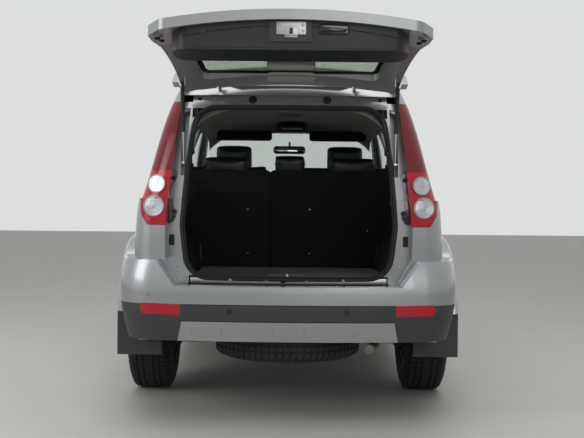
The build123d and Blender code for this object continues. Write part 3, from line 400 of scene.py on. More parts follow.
def facingInside(fromTail, toNose):
    # 1 where a side's skin faces the cabin, between two stations: x times the normal's x is below -0.1
    def mask(tree, place):
        across = addNode(tree, "SeparateXYZ", None, {0: place})
        normal = addNode(tree, "TexCoord").outputs["Normal"]
        out = addNode(tree, "SeparateXYZ", None, {0: normal})
        product = addNode(tree, "Math", {"operation": "MULTIPLY"}, {0: across.outputs[0], 1: out.outputs[0]})
        inward = addNode(tree, "Math", {"operation": "LESS_THAN", 1: -0.1}, {0: product.outputs[0]})
        behind = addNode(tree, "Math", {"operation": "GREATER_THAN", 1: fromTail + axleY},
                         {0: across.outputs[1]})
        ahead = addNode(tree, "Math", {"operation": "LESS_THAN", 1: toNose + axleY}, {0: across.outputs[1]})
        both = addNode(tree, "Math", {"operation": "MULTIPLY"}, {0: behind.outputs[0], 1: ahead.outputs[0]})
        return addNode(tree, "Math", {"operation": "MULTIPLY"},
                       {0: inward.outputs[0], 1: both.outputs[0]}).outputs[0]
    return mask


def facingDown(tree, place):
    # 1 where the skin faces the ground: the normal's z is below -0.3
    normal = addNode(tree, "TexCoord").outputs["Normal"]
    out = addNode(tree, "SeparateXYZ", None, {0: normal}).outputs[2]
    return addNode(tree, "Math", {"operation": "LESS_THAN", 1: -0.3}, {0: out}).outputs[0]


def makeFinish(name, spec, second=None, mask=None):
    # base colour = colour x (1 - spread) to colour x (1 + spread) with the grain, which also feeds a bump;
    # roughness drifts from 0.88 to 1.12 of its value with broad patches.
    # Where a mask is 1 the second finish takes over the colour, roughness, metal and lacquer.
    material = bpy.data.materials.new(name)
    material.use_nodes = True
    tree = material.node_tree
    tree.nodes.clear()
    place = addNode(tree, "TexCoord").outputs["Object"]
    grainScale = {"Scale": 1000 / spec["grain"]}
    if spec.get("cells"):
        settings = {**grainScale, "feature": "SMOOTH_F1"}
        grain = addNode(tree, "TexVoronoi", settings, {"Vector": place}).outputs["Distance"]
    else:
        grain = addNode(tree, "TexNoise", {**grainScale, "Detail": 3.0}, {"Vector": place}).outputs["Fac"]
    broad = addNode(tree, "TexNoise", {"Scale": 1000 / spec["patch"], "Detail": 2.0}, {"Vector": place})

    def coloured(part):
        base = np.array(linear(part["colour"]))
        darker = base * (1 - part["spread"])
        paler = np.minimum(base * (1 + part["spread"]), 1)
        darker[3] = paler[3] = 1
        ends = {"data_type": "RGBA", 6: darker.tolist(), 7: paler.tolist()}
        return addNode(tree, "Mix", ends, {0: grain}).outputs[2]

    def drifting(part):
        ends = {3: part["roughness"] * 0.88, 4: min(part["roughness"] * 1.12, 1)}
        return addNode(tree, "MapRange", ends, {0: broad.outputs["Fac"]}).outputs[0]

    colour = coloured(spec)
    rough = drifting(spec)
    values = {"IOR": 1.5, "Metallic": spec.get("metallic", 0.0), "Coat Weight": spec.get("coat", 0.0),
              "Coat Roughness": spec.get("coatRoughness", 0.03), "Sheen Weight": spec.get("sheen", 0.0)}
    links = {}
    if second:
        share = mask(tree, place)
        colour = addNode(tree, "Mix", {"data_type": "RGBA"},
                         {0: share, 6: colour, 7: coloured(second)}).outputs[2]
        rough = addNode(tree, "Mix", None, {0: share, 2: rough, 3: drifting(second)}).outputs[0]
        for socket, key in (("Metallic", "metallic"), ("Coat Weight", "coat")):
            ends = {2: spec.get(key, 0.0), 3: second.get(key, 0.0)}
            links[socket] = addNode(tree, "Mix", ends, {0: share}).outputs[0]
    shader = addNode(tree, "BsdfPrincipled", values, {"Base Color": colour, "Roughness": rough, **links})
    if spec.get("bump"):
        bump = addNode(tree, "Bump", {"Strength": spec["bump"], "Distance": spec["grain"] / 3000},
                       {"Height": grain})
        tree.links.new(bump.outputs[0], shader.inputs["Normal"])
    addNode(tree, "OutputMaterial", None, {"Surface": shader.outputs[0]})
    return material


made = {name: makeFinish(name, spec) for name, spec in finishes.items()}
pairs = {
    # the bumper cover is painted above its rubbing strip and left as grained plastic below it
    "paintOverPlastic": ("silverMetallicPaint", "grainedPolypropylene", belowHeight(0.577)),
    # the body's sides, painted outside and covered by dark trim towards the cabin
    "paintWithTrimInside": ("silverMetallicPaint", "mouldedTrimPlastic", facingInside(-0.74, 2.2)),
    # the roof, painted above
    "paintWithLinerBelow": ("silverMetallicPaint", "jambPaint", facingDown),
}
for name, (outer, inner, mask) in pairs.items():
    made[name] = makeFinish(name, finishes[outer], finishes[inner], mask)


def makeClear(name, colour, roughness, alpha, ior=1.52, transmission=1.0, lower=None, height=0.0):
    # a see-through finish: tinted transmission, with part of the light let straight through
    material = bpy.data.materials.new(name)
    material.use_nodes = True
    tree = material.node_tree
    tree.nodes.clear()
    place = addNode(tree, "TexCoord").outputs["Object"]
    haze = addNode(tree, "TexNoise", {"Scale": 6.0, "Detail": 2.0}, {"Vector": place})
    rough = addNode(tree, "MapRange", {3: roughness, 4: roughness + 0.02}, {0: haze.outputs["Fac"]})
    base = np.array(linear(colour))
    ends = {"data_type": "RGBA", 6: (*(base[:3] * 0.96).tolist(), 1), 7: base.tolist()}
    tint = addNode(tree, "Mix", ends, {0: haze.outputs["Fac"]}).outputs[2]
    if lower:
        share = belowHeight(height)(tree, place)
        tint = addNode(tree, "Mix", {"data_type": "RGBA", 7: linear(lower)}, {0: share, 6: tint}).outputs[2]
    values = {"IOR": ior, "Transmission Weight": transmission, "Alpha": alpha}
    shader = addNode(tree, "BsdfPrincipled", values, {"Base Color": tint, "Roughness": rough.outputs[0]})
    if lower:
        ribs = addNode(tree, "TexWave", {"Scale": 55.0, "bands_direction": "Z"}, {"Vector": place})
        bump = addNode(tree, "Bump", {"Strength": 0.25, "Distance": 0.0006}, {"Height": ribs.outputs["Fac"]})
        tree.links.new(bump.outputs[0], shader.inputs["Normal"])
    addNode(tree, "OutputMaterial", None, {"Surface": shader.outputs[0]})
    return material


made["tintedFloatGlass"] = makeClear("tintedFloatGlass", "#B3CDB6", 0.0, 0.36)
made["greenPrivacyGlass"] = makeClear("greenPrivacyGlass", "#7E9678", 0.02, 0.62)
made["redMouldedLens"] = makeClear("redMouldedLens", "#7D0419", 0.05, 1.0, 1.49, 0.1, "#C00A26", 1.212)
made["clearMouldedLens"] = makeClear("clearMouldedLens", "#EEF2F4", 0.02, 0.4, 1.49)
made["mirrorGlass"] = makeFinish("mirrorGlass",
                                 dict(colour="#A9B8B4", metallic=1.0, roughness=0.03, grain=4.0,
                                      spread=0.01, patch=90))
print("finishes made:", len(made))

nodeFinish = {
    "silverMetallicPaint": ["front_fenders", "front_bumper", "hood", "roof_rails"],
    "paintOverPlastic": ["rear_bumper"],
    "paintWithTrimInside": ["body_side_right", "body_side_left", "door_front_right", "door_front_left",
                            "door_rear_right", "door_rear_left"],
    "paintWithLinerBelow": ["roof_panel"],
    "jambPaint": ["tailgate"],
    "silverPaintedPlastic": ["skid_plate"],
    "grainedPolypropylene": ["bumper_strip", "mud_flaps", "cowl_panel"],
    "mouldedTrimPlastic": ["tailgate_lining", "dashboard", "steering_wheel"],
    "polishedBlackPlastic": ["grille"],
    "needledCarpet": ["floor_pan"],
    "extrudedRubber": ["gate_seal"],
    "vulcanisedRubber": ["tyre_front_right", "tyre_front_left", "tyre_rear_right", "tyre_rear_left",
                         "spare_wheel"],
    "paintedCastAluminium": ["rim_front_right", "rim_front_left", "rim_rear_right", "rim_rear_left"],
    "dippedBlackPaint": ["frame_rails", "cross_members", "front_suspension", "rear_axle", "strut_cylinders"],
    "sandCastIron": ["knuckle_right", "knuckle_left", "powertrain_block"],
    "chromePlate": ["strut_rods"],
    "rolledExhaustSteel": ["exhaust"],
    "blowMouldedPolyethylene": ["fuel_tank"],
    "tintedFloatGlass": ["fixed_glass", "glass_front_right", "glass_front_left", "glass_rear_right",
                         "glass_rear_left"],
    "greenPrivacyGlass": ["tailgate_glass"],
    "redMouldedLens": ["rear_lamps"],
    "clearMouldedLens": ["headlamps"],
}
for finish, names in nodeFinish.items():
    for name in names:
        nodes[name].data.materials.clear()
        nodes[name].data.materials.append(made[finish])
print("nodes finished")


# Camera: where the photograph was taken from.
cameraPlace = {
    "lensMm": 61.6,
    "station": -5.75,
    "height": 1.05,
    "pitchDown": 0.83,
    "yawRight": 0.18,
    "roll": 0.57,
}
cameraData = bpy.data.cameras.new("camera")
cameraData.lens = cameraPlace["lensMm"]
cameraData.sensor_width = 36
cameraData.clip_end = 200
camera = bpy.data.objects.new("camera", cameraData)
bpy.context.scene.collection.objects.link(camera)
camera.location = (0, axleY + cameraPlace["station"], cameraPlace["height"])
aim = Matrix.Rotation(math.radians(-cameraPlace["yawRight"]), 3, "Z")
aim = aim @ Matrix.Rotation(math.radians(90 - cameraPlace["pitchDown"]), 3, "X")
aim = aim @ Matrix.Rotation(math.radians(cameraPlace["roll"]), 3, "Z")
camera.rotation_euler = aim.to_euler()
bpy.context.scene.camera = camera
print("camera placed")


# Rear lamps: two round clear bowls in the red lens, and the black flange in the jamb beside it.
rearLamp = {
    "bowls": [(0.647, 1.146, 0.043), (0.658, 1.038, 0.049)],
    "dome": 0.005,
    "flangeMiddle": 0.567,
    "ringWidth": 0.0035,
    "flange": [(0.592, 1.214), (0.560, 1.214), (0.541, 1.192), (0.541, 1.006), (0.566, 0.962),
               (0.592, 0.950)],
    "flangeBoxes": [(0.566, 1.175, 0.011), (0.562, 1.010, 0.013), (0.564, 0.985, 0.008)],
}
ringPieces, bowlPieces, domePieces, bulbPieces = [], [], [], []
for x, z, radius in rearLamp["bowls"]:
    ripple = np.linspace(0, radius - 0.003, 22)
    relief = 0.0006 * np.cos(ripple / radius * 38)
    profile = np.stack([ripple, -0.0022 + relief], 1)
    bowl = lathe(np.concatenate([profile, [[radius - 0.002, 0.004], [0, 0.004]]]), (x, 0, z), "y", 40)
    bowlPieces.append(seated(bowl, "rear_lamps", x, z))
    out = rearLamp["ringWidth"]
    arc = np.linspace(0, math.pi, 8)
    ring = np.stack([radius + out * np.cos(arc), -0.001 - out * np.sin(arc)], 1)
    ring = np.concatenate([ring, [[radius - out, 0.003], [radius + out, 0.003]]])
    shape = lathe(np.concatenate([ring, ring[:1]]), (x, 0, z), "y", 40)
    ringPieces.append(seated(shape, "rear_lamps", x, z))
    sweep = np.linspace(0, 1, 9)
    dome = np.stack([(radius - 0.0025) * sweep, -0.0035 - rearLamp["dome"] * (1 - sweep ** 2)], 1)
    dome = np.concatenate([dome, dome[::-1] + [0, 0.0012]])
    domePieces.append(seated(lathe(dome, (x, 0, z), "y", 40), "rear_lamps", x, z))
    bulb = np.stack([0.010 * np.sin(np.linspace(0, math.pi / 2, 7)), -0.0042 + 0.002 * sweep[:7]], 1)
    bulbPieces.append(seated(lathe(bulb, (x, 0, z), "y", 20), "rear_lamps", x, z))
addPiece("lampBowls", bowlPieces, "silveredReflector", mirrored=True)
addPiece("lampRings", ringPieces, "silverPaintedPlastic", mirrored=True)
addPiece("lampDomes", domePieces, "clearMouldedLens", mirrored=True)
addPiece("lampBulbCaps", bulbPieces, "satinStainless", mirrored=True)
# the lamp's flange lies on the straight line that fits the jamb between its ends
heights = np.linspace(0.970, 1.200, 8)
spots = skinAt("body_side_right", placed(rearLamp["flangeMiddle"], 0, heights))
lean = np.polyfit(heights, spots[:, 1], 1)
flange = plate(rearLamp["flange"], 0.006, -0.0015, 0.004, "xzy", 0.001)
flange = moved(flange, placed(0, np.polyval(lean, flange[0][:, 2]), 0))
boxes = []
for x, z, radius in rearLamp["flangeBoxes"]:
    cup = lathe([(0, -0.0055), (radius * 0.6, -0.0055), (radius * 0.7, -0.0075), (radius, -0.0075),
                 (radius, 0)], (x, 0, z), "y", 24)
    boxes.append(seated(cup, "body_side_right", x, z))
addPiece("lampFlanges", [flange], "polishedBlackPlastic", mirrored=True)
addPiece("lampFlangeCaps", boxes, "mouldedTrimPlastic", mirrored=True)
print("rear lamps dressed")

# Jamb: bump stops, screws, the load sill's plate with its plugs and striker.
jamb = {
    "stop": (0.573, 0.872, 0.013, 0.026),
    "screws": [(0.541, 0.747, 0.0085), (0.497, 0.694, 0.007), (0.553, 0.812, 0.006)],
    "plugs": [-0.282, -0.106, 0.089, 0.267],
    "plugRadius": 0.0105,
    "plugHeight": 0.679,
    "sillHeight": 0.678,
    "strikerX": -0.025,
    "strikerCover": (-0.10, 0.086, 0.684, 0.7085),
}
x, z, halfWidth, halfHeight = jamb["stop"]
corners = boxed((x - halfWidth, x + halfWidth, z - halfHeight, z + halfHeight))
stopBase = seated(plate(corners, 0.005, -0.005, 0.003, "xzy", 0.003), "body_side_right", x, z)
nose = lathe([(0, -0.0080), (0.007, -0.0076), (0.0095, -0.0055), (0.0095, 0.0)], (x, 0, z + 0.004), "y", 24)
addPiece("gateBumpStops", [stopBase, seated(nose, "body_side_right", x, z)], "extrudedRubber", mirrored=True)


def button(x, z, radius, height=0.003):
    # a low dome with a rim: radius times the sine, height times the cosine of a quarter turn
    turn = np.linspace(0, math.pi / 2, 7)
    dome = np.stack([radius * 0.8 * np.sin(turn), -0.001 - height * np.cos(turn)], 1)
    return lathe(np.concatenate([dome, [[radius, -0.0012], [radius, 0.002]]]), (x, 0, z), "y", 24)


screws = [seated(button(x, z, radius), "body_side_right", x, z) for x, z, radius in jamb["screws"]]
addPiece("jambScrews", screws, "zincPlatedSteel", mirrored=True)

sillStations = np.linspace(-0.478, 0.478, 41)
sillSpots = skinAt("floor_pan", placed(sillStations, 0, jamb["sillHeight"]))
sillPath = placed(sillStations, sillSpots[:, 1], jamb["sillHeight"])
sillSection = rounded(boxed((-0.0045, 0.0035, -0.0125, 0.0125)), 0.002, 4)
addPiece("loadSillPlate", carried(sillPath, sillSection), "satinStainless")
z = jamb["plugHeight"]
plugs = [seated(button(x, z, jamb["plugRadius"], 0.002), "floor_pan", x, z, 0.0045) for x in jamb["plugs"]]
addPiece("sillPlugs", plugs, "silverPaintedPlastic")
x = jamb["strikerX"]
# painted shade: the hole by the striker is not cut; a flat black disc in a thin rim stands for the dark
# inside it
holeShadeDisc = lathe([(0, -0.0002), (0.0085, -0.0002), (0.0095, -0.001), (0.0105, -0.001), (0.0105, 0.002)],
             (x, 0, 0.672), "y", 24)
addPiece("strikerHoleShade", seated(holeShadeDisc, "floor_pan", x, 0.672, 0.0050), "polishedBlackPlastic")
low, high, bottom, top = jamb["strikerCover"]
cover = plate([(low + 0.006, bottom), (high - 0.006, bottom), (high, top), (low, top)], 0.004, -0.846, -0.820,
              "xzy", 0.003)
tongue = plate(boxed((-0.012, 0.0, 0.688, 0.7095)), 0.003, -0.872, -0.860, "xzy", 0.001)
addPiece("strikerCover", cover, "grainedPolypropylene")
addPiece("strikerTongue", tongue, "zincPlatedSteel")

openingSeal = {
    "corners": [(0.488, 0.690), (0.518, 0.940), (0.496, 1.230), (0.462, 1.528),
                (-0.462, 1.528), (-0.496, 1.230), (-0.518, 0.940), (-0.488, 0.690)],
    "radii": [0.115, 0.3, 0.3, 0.105, 0.105, 0.3, 0.3, 0.115],
    "grow": 0.0065,
    "bulb": 0.0105,
    "depth": 0.046,
    "lipInset": 0.0115,
    "lip": 0.0022,
}
openingEdge = evened(rounded(openingSeal["corners"], openingSeal["radii"], 14), 220)
flat = shrunk(openingEdge, -openingSeal["grow"])
sealPath = skinAt("gate_seal", placed(flat[:, 0], 0, flat[:, 1]))[:, :3]
# where the skin steps, the bulb keeps to the inner of its neighbours
sealPath[:, 1] = np.max([np.roll(sealPath[:, 1], step) for step in (-1, 0, 1)], axis=0)
bulb = carried(sealPath + [0, openingSeal["bulb"], 0], circle(openingSeal["bulb"], 12), (0, 1, 0), True)
inward = shrunk(flat, openingSeal["lipInset"])
half = openingSeal["depth"] / 2
lipPath = placed(inward[:, 0], sealPath[:, 1] + half, inward[:, 1])
lipSection = bar(openingSeal["lip"], half, 0.0015, 3)
seal = addPiece("openingSealBulb", [bulb, carried(lipPath, lipSection, (0, 1, 0), True)], "extrudedRubber")
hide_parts("gate_seal")
print("jamb dressed")

# Bumper: parking sensors, the skid plate's pressed panels, the rubbing strip's edges.
bumper = {
    "stripSensors": [-0.276, 0.276],
    "stripSensorHeight": 0.544,
    "cornerSensors": [-0.665, 0.665],
    "cornerSensorHeight": 0.624,
    "sensorRadius": 0.0115,
    "skidPanels": [(-0.455, -0.315, 0.428, 0.470), (-0.075, 0.075, 0.425, 0.470),
                   (0.315, 0.455, 0.428, 0.470)],
    "stripEdges": [0.4965, 0.5755],
}


def sensor(x, z, radius):
    # a flat face in a shallow ring
    profile = [(0, -0.002), (radius * 0.78, -0.002), (radius * 0.82, -0.0006), (radius * 0.88, -0.0006),
               (radius * 0.92, -0.0022), (radius, -0.0012), (radius, 0.003)]
    return lathe(profile, (x, 0, z), "y", 28)


radius = bumper["sensorRadius"]
z = bumper["stripSensorHeight"]
strips = [seated(sensor(x, z, radius), "bumper_strip", x, z) for x in bumper["stripSensors"]]
addPiece("parkingSensors", strips, "mouldedTrimPlastic")
z = bumper["cornerSensorHeight"]
corners = [seated(sensor(x, z, radius), "rear_bumper", x, z) for x in bumper["cornerSensors"]]
addPiece("paintedSensors", corners, "silverMetallicPaint")

panels = []
for low, high, bottom, top in bumper["skidPanels"]:
    flat = rounded(boxed((low, high, bottom, top)), 0.014, 8)
    path = skinAt("skid_plate", placed(flat[:, 0], 0, flat[:, 1]))[:, :3]
    panels.append(carried(path, circle(0.0022, 8), (0, 1, 0), True))
addPiece("skidPlateBeads", panels, "silverPaintedPlastic")

stripLines = []
stations = np.linspace(-0.50, 0.50, 41)
for z in bumper["stripEdges"]:
    path = skinAt("rear_bumper", placed(stations, 0, z))[:, :3]
    stripLines.append(tube(path, 0.0016, (0, 0, 1), 6))
addPiece("rubbingStripEdges", stripLines, "extrudedRubber")
print("bumper dressed")


# Open tailgate, worked out closed and swung up: latch, pull, plugs, lining edges, the window's black border.
gate = {
    "face": 0.712,
    "surround": (-0.090, 0.087, -0.918, -0.832),
    "latchPlate": (-0.058, 0.062, -0.914, -0.850),
    "pull": (0.114, 0.235, -0.905, -0.866),
    "plugs": [(-0.357, -0.869), (-0.143, -0.893), (0.354, -0.869)],
    "window": [(0.478, 1.118), (0.428, 1.522), (-0.428, 1.522), (-0.478, 1.118)],
    "windowRadius": 0.050,
    "border": 0.026,
    "printLift": 0.0008,
}


def underLining(corners, radius, depth, proud, bevel=0.002):
    # a plate on the lining's lower face: given as (x, y), it reaches from inside the face to below it
    return plate(corners, radius, gate["face"] - proud, gate["face"] + depth, "xyz", bevel)


surround = underLining(boxed(gate["surround"]), 0.006, 0.004, 0.007, 0.003)
addPiece("latchSurround", surround, "grainedPolypropylene", "tailgate", gate=True)
low, high, near, far = gate["latchPlate"]
tab = [(low, near), (high, near), (high, far - 0.012), (high - 0.03, far - 0.012), (high - 0.036, far),
       (low + 0.036, far), (low + 0.03, far - 0.012), (low, far - 0.012)]
latch = plate(tab, 0.003, gate["face"] - 0.010, gate["face"] - 0.006, "xyz", 0.001)
addPiece("latchPlate", latch, "zincPlatedSteel", "tailgate", gate=True)
middle = (low + high) / 2
housing = underLining(boxed((middle - 0.03, middle + 0.03, -0.893, -0.857)), 0.006, -0.009, 0.0155)
claw = underLining(boxed((middle - 0.007, middle + 0.007, -0.888, -0.863)), 0.003, -0.015, 0.0175, 0.0008)
rivet = [(0, -0.0035), (0.0045, -0.0028), (0.006, -0.001), (0.006, 0.002)]
rivets = [lathe(rivet, (x, y, gate["face"] - 0.0095), "z", 18)
          for x in (low + 0.012, high - 0.012) for y in (-0.900, -0.876)]
addPiece("latchHousing", [housing, *rivets], "zincPlatedSteel", "tailgate", gate=True)
addPiece("latchClaw", claw, "dippedBlackPaint", "tailgate", gate=True)

low, high, near, far = gate["pull"]
rim = rounded(boxed((low, high, near, far)), 0.009, 6)
rimPath = placed(rim[:, 0], rim[:, 1], gate["face"] - 0.0015)
well = underLining(boxed((low + 0.003, high - 0.003, near + 0.003, far - 0.003)), 0.007, 0.002, 0.0008,
                   0.0004)
grip = [(low + 0.010, -0.878, gate["face"] - 0.001), (low + 0.035, -0.877, gate["face"] - 0.005),
        (high - 0.035, -0.877, gate["face"] - 0.005), (high - 0.010, -0.878, gate["face"] - 0.001)]
addPiece("pullRim", carried(rimPath, circle(0.0032, 8), (0, 0, 1), True), "mouldedTrimPlastic", "tailgate",
         gate=True)
addPiece("pullPocket", well, "polishedBlackPlastic", "tailgate", gate=True)
addPiece("pullGrip", tube(curve(grip), 0.005, (0, 1, 0)), "mouldedTrimPlastic", "tailgate", gate=True)
plugAndShadeDisc = [(0, -0.0015), (0.006, -0.0012), (0.007, -0.0026), (0.0105, -0.0022), (0.0115, 0), (0.0115, 0.003)]
plugs = [lathe(plugAndShadeDisc, (x, y, gate["face"]), "z", 24) for x, y in gate["plugs"]]
addPiece("liningPlugs", plugs, "grainedPolypropylene", "tailgate", gate=True)

# two rolled edges of the lining: straight along its front corner, and bowed by a parabola near its far edge
stations = np.linspace(-0.430, 0.430, 25)
front = placed(stations, -0.8035, 0.7150)
bow = placed(stations * 1.02, -0.897 + 0.045 * (stations / 0.43) ** 2, 0.7118)
liningEdges = [tube(front, 0.0065, (0, 0, 1), 12), tube(bow, 0.0022, (0, 1, 0), 8)]
addPiece("liningBeads", liningEdges, "mouldedTrimPlastic", "tailgate", gate=True)

windowEdge = rounded(gate["window"], gate["windowRadius"], 10)


def gateOutline(flat):
    # a rear-view outline of the closed gate, swung up, for lines that run straight up on to it
    middle = placed(flat[:, 0], -0.93 + (flat[:, 1] - 1.0) * 0.2, flat[:, 1])
    turned = swung((middle, []))[0]
    return turned * [1, 1, 0] + [0, 0, 1.2]


# the printed border: two outlines a width apart, both laid on the pane, joined by quads
printRings = []
for amount in (0.001, gate["border"]):
    found = skinAt("tailgate_glass", gateOutline(shrunk(windowEdge, amount)), (0, 0, 1), 0.6)
    printRings.append(found[:, :3] - [0, 0, gate["printLift"]])
border = grid(np.stack(printRings), closeAcross=True)
addPiece("tailgateGlassBorder", border, "ceramicPrint", "tailgate")

# The gate's own fittings round the window: the cover over the high lamp, and the rubber stubs.
gateFittings = {
    "cover": {"across": (-0.114, 0.122), "up": (1.432, 1.600), "proud": 0.012, "beyondSeal": 0.0030,
              "atSeal": 0.0008, "sealBand": (1.5190, 1.5500), "beyondFrom": 1.5215, "middle": 1.55},
    "stubs": [(0.556, 0.815), (0.548, 0.905)],
}


def onGate(shape, node, x, z):
    # a shape made round y = 0, facing the cabin, goes on the closed gate's inner skin at (x, z)
    turned = swung((np.array([[x, -0.93, z]]), []))[0][0]
    spot = skinAt(node, (turned[0], turned[1], 1.0), (0, 0, 1), 0.6)[0]
    y = gateSwing["hingeY"] + (gateSwing["hingeZ"] - spot[2])
    return moved(shape, (0, y, 0))


# the lamp cover: height over the gate's skin = proud x (1 - u^10) x (1 - v^12), thinned where the seal
# passes; the skin is a quadratic in x and z, fitted to a few spots of it
cover = gateFittings["cover"]
tries = np.array([[x, z] for z in (1.530, 1.545, 1.560, 1.580, 1.600) for x in (-0.11, 0.0, 0.11)])
turned = swung((placed(tries[:, 0], -0.77, tries[:, 1]), []))[0]
spots = skinAt("tailgate", turned * [1, 1, 0] + [0, 0, 1.0], (0, 0, 1), 0.6)
closedY = gateSwing["hingeY"] + (gateSwing["hingeZ"] - spots[:, 2])
closedZ = gateSwing["hingeZ"] + (spots[:, 1] - gateSwing["hingeY"])
above = closedZ - cover["middle"]
terms = np.stack([0 * closedZ + 1, above, spots[:, 0] ** 2, above ** 2], 1)
slope = np.linalg.lstsq(terms, closedY, rcond=None)[0]
x, z = np.meshgrid(np.linspace(*cover["across"], 41), np.linspace(*cover["up"], 57))
u = (x - np.mean(cover["across"])) / (np.ptp(cover["across"]) / 2)
v = (z - np.mean(cover["up"])) / (np.ptp(cover["up"]) / 2)
height = np.where(z < cover["beyondFrom"], cover["proud"], cover["beyondSeal"])
height = np.where((z > cover["sealBand"][0]) & (z < cover["sealBand"][1]), cover["atSeal"], height)
height = height * (1 - u ** 10) * (1 - v ** 12) - 0.0012
above = z - cover["middle"]
y = slope[0] + slope[1] * above + slope[2] * x ** 2 + slope[3] * above ** 2 + height
addPiece("highLampCover", grid(np.stack([x, y, z], -1)), "paleGreyTrimPlastic", "tailgate", gate=True,
         crease=50)
stubs = []
for x, z in gateFittings["stubs"]:
    stub = lathe([(0, 0.0050), (0.007, 0.0046), (0.010, 0.0030), (0.012, 0.0), (0.012, -0.006)], (x, 0, z),
                 "y", 20)
    stubs.append(onGate(stub, "tailgate", x, z))
addPiece("gateRubberStubs", stubs, "extrudedRubber", "tailgate", mirrored=True, gate=True)
print("tailgate dressed")

# Roof header behind the gate: hinge leaves with a bolt each, the harness grommets, and on each side a hole
# drawn as a flat black disc: painted shade in the hole.
header = {"z": 1.578, "leafX": [0.300, 0.374], "grommetX": 0.186, "holeX": 0.452}
leaves = []
for x in header["leafX"]:
    edges = (x - 0.026, x + 0.026, header["z"] - 0.013, header["z"] + 0.013)
    leaf = plate(boxed(edges), 0.004, -0.003, 0.001, "xzy", 0.001)
    bolt = lathe([(0, -0.0065), (0.005, -0.0065), (0.006, -0.0058), (0.006, -0.0042), (0.0095, -0.0038),
                  (0.0095, 0)], (x, 0, header["z"]), "y", 6)
    leaves += [seated(leaf, "roof_panel", x, header["z"]), seated(bolt, "roof_panel", x, header["z"])]
addPiece("hingeLeaves", leaves, "zincPlatedSteel", mirrored=True)
x = header["grommetX"]
boot = lathe([(0, -0.0072), (0.010, -0.0068), (0.013, -0.0045), (0.019, -0.0030), (0.021, 0), (0.021, 0.003)],
             (x, 0, header["z"] - 0.006), "y", 24)
addPiece("harnessGrommets", seated(boot, "roof_panel", x, header["z"] - 0.006), "extrudedRubber",
         mirrored=True)
x = header["holeX"]
# painted shade: the hole in the painted channel is not cut; a flat black disc with a low rim stands for the
# dark inside it
plugAndShadeDisc = lathe([(0, -0.0004), (0.0065, -0.0004), (0.008, -0.0014), (0.0095, -0.0008), (0.0095, 0.003)],
             (x, 0, header["z"]), "y", 20)
addPiece("headerHoleShadeDiscs", seated(plugAndShadeDisc, "roof_panel", x, header["z"]), "polishedBlackPlastic", mirrored=True)

# Gas struts: a black collar round each end of the tube.
strut = {"x": 0.522, "gateClosed": (-0.741, 1.490), "body": (-0.817, 1.250), "tube": 0.236}
top = swung((np.array([[0, strut["gateClosed"][0], strut["gateClosed"][1]]]), []))[0][0][1:]
bottom = np.array(strut["body"])
axis = (bottom - top) / np.linalg.norm(bottom - top)


def strutRing(distance, radius, length):
    # a collar round the strut's line, a distance from its upper eye
    ends = [top + axis * (distance + step) for step in np.linspace(0, length, 5)]
    radii = radius * np.array([0.86, 1.0, 1.0, 1.0, 0.86])
    path = np.array([(strut["x"], *end) for end in ends])
    side = np.array([1.0, 0, 0])
    rise = np.cross(side, np.array([0, *axis]))
    ring = circle(1.0, 16)
    around = side * ring[:, :1] + rise * ring[:, 1:]
    return loft(path[:, None] + radii[:, None, None] * around)


collars = [strutRing(0.016, 0.0118, 0.012), strutRing(strut["tube"] - 0.010, 0.0112, 0.010)]
addPiece("strutCollars", collars, "dippedBlackPaint", "strut_cylinders", mirrored=True)
print("struts dressed")


# Cabin. Soft pieces are stacks of rounded outlines, blown up a little by the cloth solver under pressure.
def stack(rows, side, depth, steps=5):
    # each row gives a middle, half a side, half a depth and a corner; its outline lies along side and depth
    side = np.asarray(side, float)
    depth = np.asarray(depth, float) / np.linalg.norm(depth)
    rings = []
    for middle, halfSide, halfDepth, corner in rows:
        flat = bar(halfSide, halfDepth, corner, steps)
        rings.append(np.asarray(middle) + flat[:, :1] * side + flat[:, 1:] * depth)
    return loft(rings)


def pad(start, end, halfSide, halfDepth, depth, corner=0.03, crown=0.9, count=9, side=(1, 0, 0)):
    # a stack from start to end whose sizes follow a superellipse, so that both ends round off
    t = np.linspace(-1, 1, count)
    swell = (1 - np.abs(t) ** 6) ** 0.5 * (1 - crown) + crown
    swell = np.where(np.abs(t) > 0.999, 0.72, swell)
    start, end = np.asarray(start, float), np.asarray(end, float)
    rows = []
    for place, grow in zip((t + 1) / 2, swell):
        size = (halfSide * (0.9 + 0.1 * grow), halfDepth * grow)
        rows.append((start + (end - start) * place, *size, min(corner, size[1] * 0.9)))
    return stack(rows, side, depth)


cushionFill = {"voxel": 0.013, "pressure": 4.0, "frames": 20, "cap": 0.012, "fill": 0.8}


